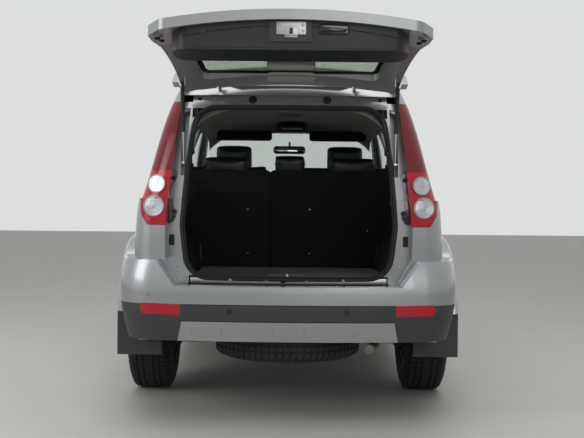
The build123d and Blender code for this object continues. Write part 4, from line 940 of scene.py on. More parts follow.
def blownUp(piece, replaced, alsoMirrored=False):
    # remeshed evenly and blown up by cloth pressure with no gravity; no point moves further than the cap
    bpy.context.view_layer.objects.active = piece
    remesh = piece.modifiers.new("even", "REMESH")
    remesh.mode = "VOXEL"
    remesh.voxel_size = cushionFill["voxel"]
    baked = bpy.data.meshes.new_from_object(piece.evaluated_get(bpy.context.evaluated_depsgraph_get()))
    piece.modifiers.clear()
    baked.materials.clear()
    baked.materials.append(piece.data.materials[0])
    piece.data = baked
    before = np.empty(len(baked.vertices) * 3)
    baked.vertices.foreach_get("co", before)
    cloth = piece.modifiers.new("fill", "CLOTH")
    cloth.settings.use_pressure = True
    cloth.settings.uniform_pressure_force = cushionFill["pressure"]
    cloth.settings.effector_weights.gravity = 0
    cloth.point_cache.frame_start = 1
    cloth.point_cache.frame_end = cushionFill["frames"]
    for step in range(1, cushionFill["frames"] + 1):
        bpy.context.scene.frame_set(step)
    swollen = bpy.data.meshes.new_from_object(piece.evaluated_get(bpy.context.evaluated_depsgraph_get()))
    after = np.empty(len(swollen.vertices) * 3)
    swollen.vertices.foreach_get("co", after)
    piece.modifiers.clear()
    bpy.context.scene.frame_set(1)
    travel = (after - before).reshape(-1, 3)
    length = np.linalg.norm(travel, axis=1, keepdims=True)
    travel = travel * np.minimum(1, cushionFill["cap"] / np.maximum(length, 1e-9))
    baked.vertices.foreach_set("co", (before.reshape(-1, 3) + travel).ravel())
    baked.shade_smooth()
    baked.update()
    finer = piece.modifiers.new("finer", "SUBSURF")
    finer.levels = finer.render_levels = 1
    pieces = [piece]
    if alsoMirrored:
        twin = piece.copy()
        twin.data = piece.data.copy()
        twin.name = piece.name + "Left"
        places = np.empty(len(twin.data.vertices) * 3)
        twin.data.vertices.foreach_get("co", places)
        twin.data.vertices.foreach_set("co", (places.reshape(-1, 3) * [-1, 1, 1]).ravel())
        twin.data.flip_normals()
        bpy.context.scene.collection.objects.link(twin)
        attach(twin, "vehicle")
        pieces.append(twin)
    for soft in pieces:
        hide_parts(*replaced)


frontSeat = {
    "cushion": dict(start=(0.385, 0.765, 0.668), end=(0.385, 1.272, 0.690), halfSide=0.242, halfDepth=0.058),
    "back": dict(start=(0.385, 0.790, 0.690), end=(0.385, 0.655, 1.228), halfSide=0.228, halfDepth=0.058),
    "headrest": dict(start=(0.350, 0.607, 1.262), end=(0.350, 0.583, 1.412), halfSide=0.112, halfDepth=0.042),
}
leanFront = np.array([0, 0.970, 0.243])
cushion = addPiece("frontSeatCushion", pad(**frontSeat["cushion"], depth=(0, -0.04, 1), corner=0.045),
                   "coatedSeatLeather")
back = addPiece("frontSeatBack", pad(**frontSeat["back"], depth=leanFront, corner=0.045), "coatedSeatLeather")
rest = addPiece("frontHeadrest", pad(**frontSeat["headrest"], depth=leanFront, corner=0.036),
                "coatedSeatLeather")
for soft in (cushion, back, rest):
    blownUp(soft, ["front_seats"], True)

rearSeat = {
    "cushion": dict(start=(0, 0.215, 0.752), end=(0, 0.585, 0.762), halfSide=0.625, halfDepth=0.046),
    "leftBack": dict(start=(-0.3755, 0.205, 0.735), end=(-0.3755, 0.070, 1.272), halfSide=0.2605,
                     halfDepth=0.050),
    "rightBack": dict(start=(0.267, 0.205, 0.735), end=(0.267, 0.070, 1.272), halfSide=0.3655,
                      halfDepth=0.050),
    "headrests": [(-0.362, 0.127, 1.315), (0.004, 0.086, 1.326), (0.362, 0.127, 1.315)],
}
leanRear = np.array([0, 0.970, 0.245])
rearPads = [addPiece("rearSeatCushion", pad(**rearSeat["cushion"], depth=(0, -0.03, 1), corner=0.04),
                     "coatedSeatLeather")]
for name in ("leftBack", "rightBack"):
    rearPads.append(addPiece("rearSeat" + name[0].upper() + name[1:],
                             pad(**rearSeat[name], depth=leanRear, corner=0.04), "coatedSeatLeather"))
for number, (x, halfSide, top) in enumerate(rearSeat["headrests"]):
    shape = pad((x, 0.020, top - 0.092), (x, 0.004, top), halfSide, 0.036, leanRear, 0.030)
    rearPads.append(addPiece("rearHeadrest" + str(number + 1), shape, "coatedSeatLeather"))
for soft in rearPads:
    blownUp(soft, ["rear_seat"])

# Seat fittings: headrest posts, plinths, seams, the carpeted backs with their release knobs.
posts = [tube([(x, 0.615, 1.190), (x, 0.606, 1.275)], 0.0065, (0, 1, 0)) for x in (0.310, 0.390)]
for x, halfSide, top in rearSeat["headrests"]:
    spread = halfSide * 0.45
    posts += [tube([(x + s * spread, 0.060, 1.195), (x + s * spread, 0.022, top - 0.080)], 0.006, (0, 1, 0))
              for s in (-1, 1)]
addPiece("headrestPosts", posts, "chromePlate")
leftPosts = [mirror(post) for post in posts[:2]]
addPiece("leftHeadrestPosts", leftPosts, "chromePlate")
plinth = stack([((0.385, 1.01, 0.502), 0.185, 0.210, 0.05), ((0.385, 1.01, 0.560), 0.175, 0.205, 0.05),
                ((0.385, 1.01, 0.622), 0.215, 0.235, 0.06)], (1, 0, 0), (0, 1, 0))
sideCover = plate([(0.80, 0.600), (1.24, 0.622), (1.26, 0.668), (1.20, 0.690), (0.82, 0.680)], 0.02, 0.630,
                  0.642, "yzx", 0.004)
addPiece("frontSeatPlinths", [plinth, sideCover], "mouldedTrimPlastic", mirrored=True)


def beadLoop(rows, side, depth, share, radius=0.0028):
    # a sewn bead round a pad: the outline of a stack's row, a share of the way out
    middle, halfSide, halfDepth, corner = rows
    flat = bar(halfSide, halfDepth, corner, 6) * share
    depth = np.asarray(depth, float) / np.linalg.norm(depth)
    path = np.asarray(middle) + flat[:, :1] * np.asarray(side, float) + flat[:, 1:] * depth
    return carried(path, circle(radius, 6), np.cross(side, depth), True)


seams = []
for x, halfSide in ((-0.3755, 0.255), (0.267, 0.360)):
    for share, z, y in ((1.0, 1.222, 0.082), (1.0, 0.800, 0.189)):
        seams.append(beadLoop(((x, y, z), halfSide + 0.006, 0.056, 0.044), (1, 0, 0), leanRear, share))
for x, halfSide, top in rearSeat["headrests"]:
    seams.append(beadLoop(((x, 0.012, top - 0.045), halfSide + 0.002, 0.0375, 0.028), (1, 0, 0), leanRear,
                          1.0, 0.0018))
addPiece("rearSeatSeams", seams, "twistedThread")



def seatBackAt(z):
    # the station of the seat backs' rear face, which leans forward with height
    return 0.140 - (z - 0.702) * 0.283


backPanels = []
for low, high in ((-0.634, -0.1115), (-0.1045, 0.634)):
    panel = plate(boxed((low, high, 0.684, 1.246)), 0.018, -0.004, 0.006, "xzy", 0.003)
    points = panel[0].copy()
    points[:, 1] += seatBackAt(points[:, 2]) - 0.004
    backPanels.append((points, panel[1]))
addPiece("seatBackCarpets", backPanels, "needledCarpet")
divider = pad((-0.108, 0.190, 0.720), (-0.108, 0.075, 1.235), 0.022, 0.030, leanRear, 0.012)
addPiece("rearSeatDivider", divider, "coatedSeatLeather")
knobs = []
for x in (-0.575, 0.575):
    knobs.append(lathe([(0, 0.034), (0.011, 0.032), (0.013, 0.022), (0.010, 0.004), (0.016, 0)],
                       (x, 0.055, 1.278), "z", 20))
addPiece("seatReleaseKnobs", knobs, "mouldedTrimPlastic")
loops = []
for x, z in ((-0.24, 0.76), (-0.24, 1.02), (0.12, 0.76), (0.12, 1.02), (0.46, 0.90)):
    y = seatBackAt(z) - 0.010
    loops.append(lathe([(0, -0.002), (0.006, -0.0015), (0.009, 0.001), (0.009, 0.004)], (x, y, z), "y", 16))
addPiece("carpetStuds", loops, "polishedBlackPlastic")
print("seats made")

# Cargo space: floor carpet, side trims over the wheel wells, the pale pillar covers above them.
cargo = {
    "floor": (-0.512, 0.512, -0.786, 0.128, 0.672, 0.681),
    "edge": 0.522,
    "bulge": 0.080,
    "beltHeight": 1.190,
    "stations": (-0.792, -0.020),
}
low, high, near, far, bottom, top = cargo["floor"]
addPiece("cargoCarpet", plate(boxed((low, high, near, far)), 0.05, bottom, top, "xyz", 0.003),
         "needledCarpet")


def smooth(value, low, high):
    # 0 below low, 1 above high, and 3 t^2 - 2 t^3 between
    t = np.clip((value - low) / (high - low), 0, 1)
    return 3 * t ** 2 - 2 * t ** 3


y, z = np.meshgrid(np.linspace(*cargo["stations"], 40), np.linspace(0.674, cargo["beltHeight"], 34),
                   indexing="ij")
x = np.interp(z, [0.674, 0.76, 0.94, 1.19], [0.496, 0.508, cargo["edge"], 0.505])
x = x + cargo["bulge"] * smooth(y, -0.79, -0.62) * smooth(z, 0.80, 0.98)
x = x - 0.006 * np.exp(-((z - 1.02) / 0.008) ** 2) * smooth(y, -0.7, -0.6)
pocket = 0.014 * smooth(y, -0.52, -0.50) * smooth(-y, 0.20, 0.22)
x = x + pocket * smooth(z, 0.86, 0.88) * smooth(-z, -0.99, -0.97)
sideTrim = grid(np.stack([x, y, z], -1))
addPiece("cargoSideTrims", sideTrim, "mouldedTrimPlastic", mirrored=True, wall=0.003)
y, z = np.meshgrid(np.linspace(-0.800, -0.560, 16), np.linspace(cargo["beltHeight"] - 0.01, 1.545, 24),
                   indexing="ij")
x = np.interp(z, [1.18, 1.30, 1.45, 1.53, 1.56], [0.503, 0.496, 0.480, 0.462, 0.440])
x = x + 0.105 * smooth(y, -0.80, -0.60) - 0.002 * np.cos((z - 1.18) * 60)
tailEdge = np.interp(z, [1.180, 1.560], [-0.822, -0.716])
y = -0.560 + (y + 0.560) * (tailEdge + 0.560) / -0.240
addPiece("pillarCovers", grid(np.stack([x, y, z], -1)), "paleGreyTrimPlastic", mirrored=True, wall=0.003)
hook = [(0.590, -0.36, 1.095), (0.566, -0.36, 1.090), (0.552, -0.36, 1.070), (0.556, -0.36, 1.052),
        (0.570, -0.36, 1.046)]
base = lathe([(0, -0.010), (0.013, -0.008), (0.015, 0), (0.015, 0.008)], (0.594, -0.36, 1.095), "x", 18)
addPiece("bagHooks", [tube(curve(hook), 0.0045, (0, 1, 0)), base], "satinStainless", mirrored=True)
print("cargo space lined")

# Headliner: the roof's crown less its thickness, falling to the rails and to the opening at its tail.
liner = {
    "crown": [(-0.98, 1.612), (-0.30, 1.682), (0.60, 1.700), (1.60, 1.668), (2.30, 1.560)],
    "below": 0.042,
    "halfWidth": 0.580,
    "tailHalfWidth": 0.488,
    "stations": (-0.726, 1.520),
}
crownFit = np.polyfit(*np.array(liner["crown"]).T, 3)


def linerHeight(x, y):
    # the roof's cubic crown less a sixth-power fall at the sides and exponential falls at both ends
    fall = 0.105 * np.abs(x / liner["halfWidth"]) ** 6 + 0.062 * np.exp(-(y - liner["stations"][0]) / 0.045)
    fall = fall + 0.060 * np.exp((y - liner["stations"][1]) / 0.040)
    return np.polyval(crownFit, y) - liner["below"] - 0.020 * (x / 0.55) ** 2 - fall


x, y = np.meshgrid(np.linspace(-liner["halfWidth"], liner["halfWidth"], 61),
                   np.linspace(*liner["stations"], 110))
narrow = 1 - (1 - liner["tailHalfWidth"] / liner["halfWidth"]) * smooth(-y, 0.560, 0.690)
addPiece("headliner", grid(np.stack([x * narrow, y, linerHeight(x, y)], -1)), "knittedHeadliner", wall=0.004)

cabinTop = {
    "visors": [(-0.517, -0.125), (0.140, 0.545)],
    "visorStation": 1.395,
    "visorHeights": (1.492, 1.570),
    "console": (-0.092, 0.114, 1.285, 1.475),
    "mirror": (-0.118, 0.116, 1.414, 1.470),
    "domeLamp": (-0.082, 0.090, 0.950, 1.035),
    "handles": [(-0.12, 0.24), (0.62, 0.98)],
}
visors = []
for low, high in cabinTop["visors"]:
    bottom, top = cabinTop["visorHeights"]
    visor = plate(boxed((low, high, bottom, top)), 0.022, -0.009, 0.009, "xzy", 0.007, 6)
    visors.append(moved(tilted(visor, (0, 0, top), "x", -22), (0, cabinTop["visorStation"], 0.004)))
addPiece("sunVisors", visors, "mouldedTrimPlastic")
low, high, near, far = cabinTop["console"]
console = plate(boxed((low, high, near, far)), 0.03, 1.560, 1.626, "xyz", 0.014, 6)
consolePanel = plate(boxed((low + 0.02, high - 0.02, 1.574, 1.606)), 0.008,
                     near - 0.003, near + 0.004, "xzy", 0.002)
buttons = [plate(boxed((x - 0.012, x + 0.012, 1.582, 1.598)), 0.003,
                 near - 0.006, near - 0.002, "xzy", 0.001) for x in (-0.045, 0.011, 0.067)]
addPiece("overheadConsole", console, "mouldedTrimPlastic")
addPiece("consolePanel", [consolePanel, *buttons], "polishedBlackPlastic")
low, high, bottom, top = cabinTop["mirror"]
shell = plate([(low, bottom), (high, bottom), (high - 0.004, top), (low + 0.004, top)], 0.022, 1.446, 1.474,
              "xzy", 0.008, 8)
face = plate([(low + 0.007, bottom + 0.007), (high - 0.007, bottom + 0.007), (high - 0.010, top - 0.007),
              (low + 0.010, top - 0.007)], 0.017, 1.4435, 1.448, "xzy", 0.001, 8)
stalk = tube(curve([(0.0, 1.472, 1.446), (0.0, 1.500, 1.462), (0.0, 1.545, 1.500)]), 0.008, (1, 0, 0))
addPiece("insideMirrorShell", [shell, stalk], "mouldedTrimPlastic")
addPiece("insideMirrorGlass", face, "mirrorGlass")
low, high, near, far = cabinTop["domeLamp"]
height = float(linerHeight(np.array(0.0), np.array(near)))
lampBody = plate(boxed((low, high, near, far)), 0.018, height - 0.018, height + 0.004, "xyz", 0.006, 6)
lampLens = plate(boxed((low + 0.012, high - 0.012, near + 0.012, far - 0.012)), 0.012, height - 0.022,
                 height - 0.016, "xyz", 0.003, 6)
addPiece("domeLampBody", lampBody, "paleGreyTrimPlastic")
addPiece("domeLampLens", lampLens, "clearMouldedLens")
handles = []
for near, far in cabinTop["handles"]:
    handles.append(tube(curve([(0.590, near, 1.530), (0.560, near + 0.03, 1.506), (0.560, far - 0.03, 1.506),
                               (0.590, far, 1.530)]), 0.0075, (1, 0, 0.2)))
addPiece("grabHandles", handles, "paleGreyTrimPlastic", mirrored=True)

# Belts: webbing from the pillars to the seats, its guides and buckles.
webbing = bar(0.023, 0.0007, 0.0006, 2)
rearBelt = curve([(0.612, -0.130, 1.470), (0.600, -0.085, 1.330), (0.585, -0.030, 1.262),
                  (0.555, 0.050, 1.262)], 6)
frontBelt = curve([(0.655, 0.985, 1.400), (0.668, 0.990, 1.200), (0.690, 0.985, 0.900),
                   (0.700, 0.975, 0.620)], 6)
addPiece("beltWebbing", [carried(rearBelt, webbing, (1, 0, 0)), carried(frontBelt, webbing, (1, 0, 0))],
         "wovenWebbing", mirrored=True)
guides = [plate(boxed((-0.158, -0.102, 1.455, 1.490)), 0.008, 0.600, 0.622, "yzx", 0.003),
          plate(boxed((0.955, 1.015, 1.385, 1.425)), 0.010, 0.640, 0.664, "yzx", 0.004)]
buckles = [plate([(x - 0.016, 0.76), (x + 0.016, 0.76), (x + 0.014, 0.835), (x - 0.014, 0.835)], 0.006, 0.262,
                 0.280, "xzy", 0.004) for x in (0.10, 0.30)]
addPiece("beltGuides", [*guides, *buckles], "mouldedTrimPlastic", mirrored=True)

# Dashboard: instrument hood, dials, vents, centre panel, screen, glovebox, gear lever, wheel pad.
board = {
    "dials": [(-0.445, 0.046), (-0.325, 0.046)],
    "vents": [-0.640, -0.075, 0.075, 0.640],
    "wheelTilt": 24,
    "wheelHub": (-0.370, 1.470, 0.968),
    "seamRadius": 0.1652,
}
hood = pad((-0.545, 1.640, 1.035), (-0.205, 1.640, 1.035), 0.085, 0.030, (0, 0, 1), 0.028, 0.9, 9, (0, 1, 0))
addPiece("instrumentHood", hood, "mouldedTrimPlastic")
rings, faces = [], []
for x, radius in board["dials"]:
    rings.append(lathe([(radius, -0.004), (radius + 0.004, -0.006), (radius + 0.007, 0.0),
                        (radius + 0.004, 0.006),
                        (radius, 0.004), (radius, -0.004)], (x, 1.572, 1.000), "y", 32))
    faces.append(lathe([(0, 0.0), (radius, 0.0), (radius, 0.004), (0, 0.004)], (x, 1.574, 1.000), "y", 32))
addPiece("dialRings", rings, "satinStainless")
addPiece("dialFaces", faces, "polishedBlackPlastic")
ventFrames, slats = [], []
for x in board["vents"]:
    outline = rounded(boxed((x - 0.050, x + 0.050, 0.925, 0.985)), 0.014, 6)
    path = placed(outline[:, 0], 1.546, outline[:, 1])
    ventFrames.append(carried(path, circle(0.0045, 8), (0, 1, 0), True))
    for z in (0.940, 0.955, 0.970):
        edges = (x - 0.048, x + 0.048, z - 0.0015, z + 0.0015)
        slat = plate(boxed(edges), 0.001, 1.538, 1.556, "xzy", 0.0005)
        slats.append(slat)
addPiece("ventFrames", ventFrames, "satinStainless")
addPiece("ventSlats", slats, "mouldedTrimPlastic")
panel = plate([(-0.125, 0.705), (0.125, 0.705), (0.135, 0.905), (-0.135, 0.905)], 0.02, 1.485, 1.600, "xzy",
              0.006)
screen = plate(boxed((-0.095, 0.095, 0.815, 0.892)), 0.006, 1.4815, 1.490, "xzy", 0.001)
addPiece("centrePanel", panel, "silverPaintedPlastic")
addPiece("centreScreen", screen, "polishedBlackPlastic")
turners = [lathe([(0, -0.018), (0.016, -0.017), (0.018, -0.004), (0.021, 0)], (x, 1.485, 0.762), "y", 24)
           for x in (-0.07, 0.0, 0.07)]
addPiece("climateKnobs", turners, "mouldedTrimPlastic")
gloveLine = rounded(boxed((0.210, 0.620, 0.790, 0.900)), 0.02, 6)
gloveFace = np.interp(gloveLine[:, 1], [0.79, 0.90], [1.557, 1.527])
glovePath = placed(gloveLine[:, 0], gloveFace, gloveLine[:, 1])
addPiece("gloveboxLine", carried(glovePath, circle(0.002, 6), (0, 1, 0), True), "extrudedRubber")
boot = lathe([(0.058, 0.0), (0.052, 0.012), (0.046, 0.016), (0.040, 0.030), (0.028, 0.040), (0.018, 0.058),
              (0.011, 0.072), (0.0, 0.072)], (0.0, 1.300, 0.699), "z", 28)
lever = lathe([(0.0, 0.060), (0.006, 0.060), (0.006, 0.120), (0.018, 0.130), (0.024, 0.150), (0.020, 0.172),
               (0.0, 0.180)], (0.0, 1.300, 0.699), "z", 28)
addPiece("gearLeverBoot", boot, "coatedSeatLeather")
addPiece("gearLever", lever, "polishedBlackPlastic")
brake = pad((0.055, 1.080, 0.730), (0.055, 1.250, 0.715), 0.013, 0.013, (0, 0.1, 1), 0.012)
addPiece("parkBrakeLever", brake, "mouldedTrimPlastic")
armrest = pad((-0.002, 0.930, 0.735), (-0.002, 1.190, 0.735), 0.085, 0.034, (0, 0, 1), 0.025)
addPiece("centreArmrest", armrest, "coatedSeatLeather")
tilt = math.radians(board["wheelTilt"])
wheelRise = np.array([0, math.sin(tilt), math.cos(tilt)])
wheelAxis = np.array([0, math.cos(tilt), -math.sin(tilt)])
hub = np.array(board["wheelHub"])
wheelPad = stack([(hub - wheelAxis * 0.034, 0.045, 0.038, 0.026),
                  (hub - wheelAxis * 0.030, 0.060, 0.052, 0.034),
                  (hub - wheelAxis * 0.012, 0.066, 0.058, 0.036)], (1, 0, 0), wheelRise)
addPiece("steeringPad", wheelPad, "mouldedTrimPlastic", "steering_wheel")
turn = np.linspace(0, 2 * math.pi, 72, endpoint=False)[:, None]
inner = hub + board["seamRadius"] * (np.cos(turn) * np.array([1.0, 0, 0]) + np.sin(turn) * wheelRise)
addPiece("steeringSeam", tube(inner, 0.0022, wheelAxis, 6, True), "twistedThread", "steering_wheel")
stalks = [tube([(-0.370 + s * 0.03, 1.515, 0.948), (-0.370 + s * 0.155, 1.500, 0.962)], 0.0075,
               (0, 0, 1)) for s in (-1, 1)]
addPiece("columnStalks", stalks, "mouldedTrimPlastic")
print("dashboard dressed")

# Door linings: a sculpted card with an armrest, a pull, a pocket and a loudspeaker ring.
doorCards = {
    "door_front": dict(outline=[(1.065, 0.480), (2.055, 0.480), (2.055, 1.030), (1.960, 1.064),
                                (1.065, 1.064)], arm=(1.110, 1.700), speaker=(1.880, 0.600), pull=1.640),
    "door_rear": dict(outline=[(0.470, 0.640), (0.640, 0.480), (0.955, 0.480), (0.955, 1.064), (0.262, 1.064),
                               (0.262, 0.880)], arm=(0.420, 0.900), speaker=(0.790, 0.600), pull=0.840),
}
for door, spec in doorCards.items():
    card = plate(spec["outline"], 0.035, 0.7575, 0.7752, "yzx", 0.006, 6)
    near, far = spec["arm"]
    arm = pad((0.742, near, 0.800), (0.742, far, 0.820), 0.026, 0.030, (0, 0, 1), 0.02, 0.85, 9, (1, 0, 0))
    y, z = spec["speaker"]
    ring = lathe([(0.058, 0.0), (0.062, -0.006), (0.070, -0.007), (0.076, 0.0), (0.076, 0.004)],
                 (0.7575, y, z), "x", 36)
    cone = lathe([(0.0, -0.003), (0.052, -0.002), (0.058, 0.002)], (0.7575, y, z), "x", 36)
    lever = tube(curve([(0.752, spec["pull"] - 0.05, 0.925), (0.743, spec["pull"] - 0.02, 0.925),
                        (0.743, spec["pull"] + 0.03, 0.925)]), 0.006, (0, 0, 1))
    edges = (spec["pull"] - 0.07, spec["pull"] + 0.06, 0.905, 0.948)
    dish = plate(boxed(edges), 0.014, 0.7545, 0.760, "yzx", 0.002)
    for side, turnShape in sides:
        body = door + "_" + side
        addPiece(body + "Card", turnShape(joined([card, cone])), "mouldedTrimPlastic", body)
        addPiece(body + "Armrest", turnShape(arm), "coatedSeatLeather", body)
        addPiece(body + "SpeakerRing", turnShape(joined([ring, dish])), "grainedPolypropylene", body)
        addPiece(body + "Lever", turnShape(lever), "satinStainless", body)
print("doors lined")

# Tyres: a closed profile turned round the axle, less four grooves and slanted slots across the ribs.
tyre = {
    "radius": 0.3685,
    "treadHalf": 0.088,
    "crownDrop": 0.0029,
    "wheelX": 0.760,
    "grooves": [-0.058, -0.027, 0.027, 0.058],
    "grooveHalf": 0.0034,
    "depth": 0.0078,
    "pitches": 68,
    "slot": [0.0, 0.035, 0.185, 0.220, 0.480, 0.740],
    "slant": 0.52,
    "sidewall": [(0.0905, 0.3625), (0.0985, 0.3560), (0.1050, 0.3430), (0.1100, 0.3290), (0.1115, 0.3270),
                 (0.1140, 0.3165), (0.1168, 0.2995), (0.1172, 0.2900), (0.1150, 0.2880), (0.1150, 0.2720),
                 (0.1132, 0.2560), (0.1125, 0.2545), (0.1080, 0.2400), (0.1030, 0.2290), (0.0985, 0.2270),
                 (0.0958, 0.2180), (0.0880, 0.2162)],
    "inside": [(0.0880, 0.2300), (0.1000, 0.2700), (0.0950, 0.3300), (0.0600, 0.3520), (0.0, 0.3540)],
}


def treadShape(spec):
    # radius = crown - groove - slot; the crown is a parabola, the slots slant by a sine of the distance
    edge = spec["grooveHalf"]
    steps = (-edge - 0.001, -edge, edge, edge + 0.001)
    columns = [groove + step for groove in spec["grooves"] for step in steps]
    columns += [-0.087, -0.080, -0.071, -0.045, -0.040, -0.012, 0.0, 0.012, 0.040, 0.045, 0.071, 0.080, 0.087]
    tread = np.sort(np.array(columns))
    right = np.array(spec["sidewall"])
    inner = np.array(spec["inside"])
    across = np.concatenate([tread, right[:, 0], inner[:, 0], -inner[-2::-1, 0], -right[::-1, 0]])
    crown = spec["radius"] - spec["crownDrop"] * (tread / spec["treadHalf"]) ** 2
    radius = np.concatenate([crown, right[:, 1], inner[:, 1], inner[-2::-1, 1], right[::-1, 1]])
    isTread = np.arange(len(across)) < len(tread)
    isShoulder = (np.abs(across) > 0.062) & (radius > 0.3400)
    fromGroove = np.min(np.abs(across[:, None] - np.array(spec["grooves"])), axis=1)
    groove = isTread & (fromGroove < edge + 0.0005)
    onRib = isTread & (fromGroove > edge + 0.0005)
    slots = np.where(isShoulder, 0.0065, 0.0) * np.where(radius < 0.352, 0.35, 1.0)
    slots = np.where(onRib & (np.abs(across) < 0.056) & (np.abs(across) > 0.030), 0.0050, slots)
    slots = np.where(onRib & (np.abs(across) < 0.022), 0.0030, slots)
    fractions = np.array(spec["slot"])
    turn = (np.arange(spec["pitches"])[:, None] + fractions).ravel()
    inSlot = np.tile((fractions > 0.01) & (fractions < 0.2), spec["pitches"])
    halfPitch = np.where(across > 0, 0.5, 0.0) * isShoulder
    offset = spec["slant"] * np.sin(across / spec["treadHalf"] * 2.4) + halfPitch
    offset = np.where(np.abs(across) > 0.11, offset[len(tread) - 1], offset)
    angle = (turn[:, None] + offset[None, :]) * 2 * math.pi / spec["pitches"]
    cut = np.where(groove[None, :], spec["depth"], inSlot[:, None] * slots[None, :])
    r = radius[None, :] - cut
    return np.stack([across[None, :] + 0 * angle, r * np.sin(angle), r * np.cos(angle)], -1)


tread = treadShape(tyre)
wheels = [("front_right", 2.700, 1), ("front_left", 2.700, -1), ("rear_right", 0.0, 1),
          ("rear_left", 0.0, -1)]
for place, station, sign in wheels:
    centre = (sign * tyre["wheelX"], station, tyre["radius"])
    shape = moved(grid(tread * [sign, 1, sign], closeAcross=True, closeAlong=True), centre)
    treaded = addPiece("tread_" + place, shape, "vulcanisedRubber", "wheel_" + place, crease=28)
    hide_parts("tyre_" + place)

# The spare lies flat; its tread is the same, and a steel disc closes it below.
flat = tread[..., [1, 2, 0]]
spareCentre = (0, -0.625, 0.400)
spareTyre = addPiece("spareTyre", moved(grid(flat, closeAcross=True, closeAlong=True), spareCentre),
                     "vulcanisedRubber", crease=28)
spareRim = lathe([(0.012, -0.010), (0.060, -0.012), (0.075, 0.006), (0.120, 0.010), (0.150, -0.030),
                  (0.172, -0.044),
                  (0.190, -0.090), (0.2155, -0.098), (0.2155, -0.104), (0.2070, -0.106), (0.180, -0.098),
                  (0.160, -0.056), (0.142, -0.040), (0.112, -0.004), (0.078, -0.006), (0.060, -0.024),
                  (0.012, -0.022)], spareCentre, "z", 64)
rimBarrel = lathe([(0.2155, -0.100), (0.200, -0.080), (0.196, 0.060), (0.2155, 0.098), (0.210, 0.104),
                   (0.190, 0.062), (0.192, -0.076), (0.207, -0.106)], spareCentre, "z", 64)
hanger = lathe([(0, -0.030), (0.028, -0.028), (0.034, -0.018), (0.034, -0.008), (0.012, 0.0), (0.012, 0.250),
                (0.0, 0.250)], spareCentre, "z", 24)
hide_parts("spare_wheel")
spareDisc = addPiece("spareRim", [spareRim, rimBarrel], "dippedBlackPaint")
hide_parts("spare_wheel")
spareHanger = addPiece("spareHanger", hanger, "zincPlatedSteel")
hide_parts("spare_wheel")

# Wheel dress: centre caps with a turned rim, hexagonal nuts in the pockets, valves.
wheelDress = {"nuts": 6, "nutCircle": 0.057}
for place, station, sign in wheels:
    centre = np.array([tyre["wheelX"], station, tyre["radius"]])
    cap = lathe([(0, 0.0685), (0.018, 0.0683), (0.026, 0.0674), (0.0285, 0.0686), (0.0325, 0.0684),
                 (0.0345, 0.0664), (0.0345, 0.060)], centre, "x", 40)
    nuts = []
    for number in range(wheelDress["nuts"]):
        spin = number * math.pi / (wheelDress["nuts"] / 2)
        spot = centre + wheelDress["nutCircle"] * np.array([0, math.sin(spin), math.cos(spin)])
        nuts.append(lathe([(0, 0.0655), (0.0050, 0.0650), (0.0085, 0.0625), (0.0092, 0.0600),
                           (0.0092, 0.0545)], spot, "x", 6))
    valve = tube(centre + np.array([[0.060, 0.0, 0.193], [0.082, 0.0, 0.1865]]), 0.004, (0, 1, 0))
    turnShape = mirror if sign < 0 else asMade
    addPiece("wheelCap_" + place, turnShape(cap), "chromePlate", "wheel_" + place)
    addPiece("wheelNuts_" + place, turnShape(joined(nuts)), "zincPlatedSteel", "wheel_" + place)
    addPiece("wheelValve_" + place, turnShape(valve), "extrudedRubber", "wheel_" + place)
print("wheels made")

# Side windows: gaskets round each pane, belt mouldings below, a black film on the frames between the doors.
sideWindows = {
    "glass_front": dict(corners=[(1.075, 1.108), (1.915, 1.096), (1.390, 1.556), (1.075, 1.560)],
                        body="door_front", belt=(1.040, 1.950, 1.090), film=(1.019, 1.064)),
    "glass_rear": dict(corners=[(0.945, 1.110), (0.945, 1.560), (0.365, 1.552), (0.275, 1.116)],
                       body="door_rear", belt=(0.262, 0.996, 1.096), film=(0.957, 1.001)),
    "fixed_glass": dict(corners=[(0.120, 1.124), (0.215, 1.545), (-0.490, 1.500), (-0.610, 1.140)],
                        body="vehicle"),
}


def skinPath(node, flat, lifted=0.0):
    # places on the right side's skin under a side-view outline of (y, z)
    found = skinAt(node, placed(0, flat[:, 0], flat[:, 1]), (-1, 0, 0))
    return found[:, :3] + np.array([lifted, 0, 0])


gasketSection = circle(1.0, 10) * [0.0058, 0.0026]
for pane, spec in sideWindows.items():
    outline = shrunk(rounded(spec["corners"], 0.038, 6), 0.002)
    isDoor = spec["body"] != "vehicle"
    node = pane + "_right" if isDoor else pane
    path = skinPath(node, outline, 0.0012)
    gasket = carried(path, gasketSection, (1, 0, 0), True)
    for side, turnShape in sides:
        body = spec["body"] + "_" + side if isDoor else "vehicle"
        addPiece(pane + "Gasket_" + side, turnShape(gasket), "extrudedRubber", body)
        if not isDoor:
            continue
        low, high, z = spec["belt"]
        stations = np.linspace(low, high, 26)
        if side == "right":
            path = skinPath(body, np.stack([stations, 0 * stations + z], 1))
            belt = carried(path, circle(1.0, 10) * [0.0085, 0.0042], (1, 0, 0))
            y, z = np.meshgrid(np.linspace(*spec["film"], 5), np.linspace(1.112, 1.552, 14), indexing="ij")
            skin = skinAt(body, placed(0, y.ravel(), z.ravel()), (-1, 0, 0))[:, :3]
            film = grid((skin + [0.0005, 0, 0]).reshape(5, 14, 3))
        addPiece(spec["body"] + "Belt_" + side, turnShape(belt), "satinStainless", body)
        addPiece(spec["body"] + "Film_" + side, turnShape(film), "ceramicPrint", body)
print("windows trimmed")
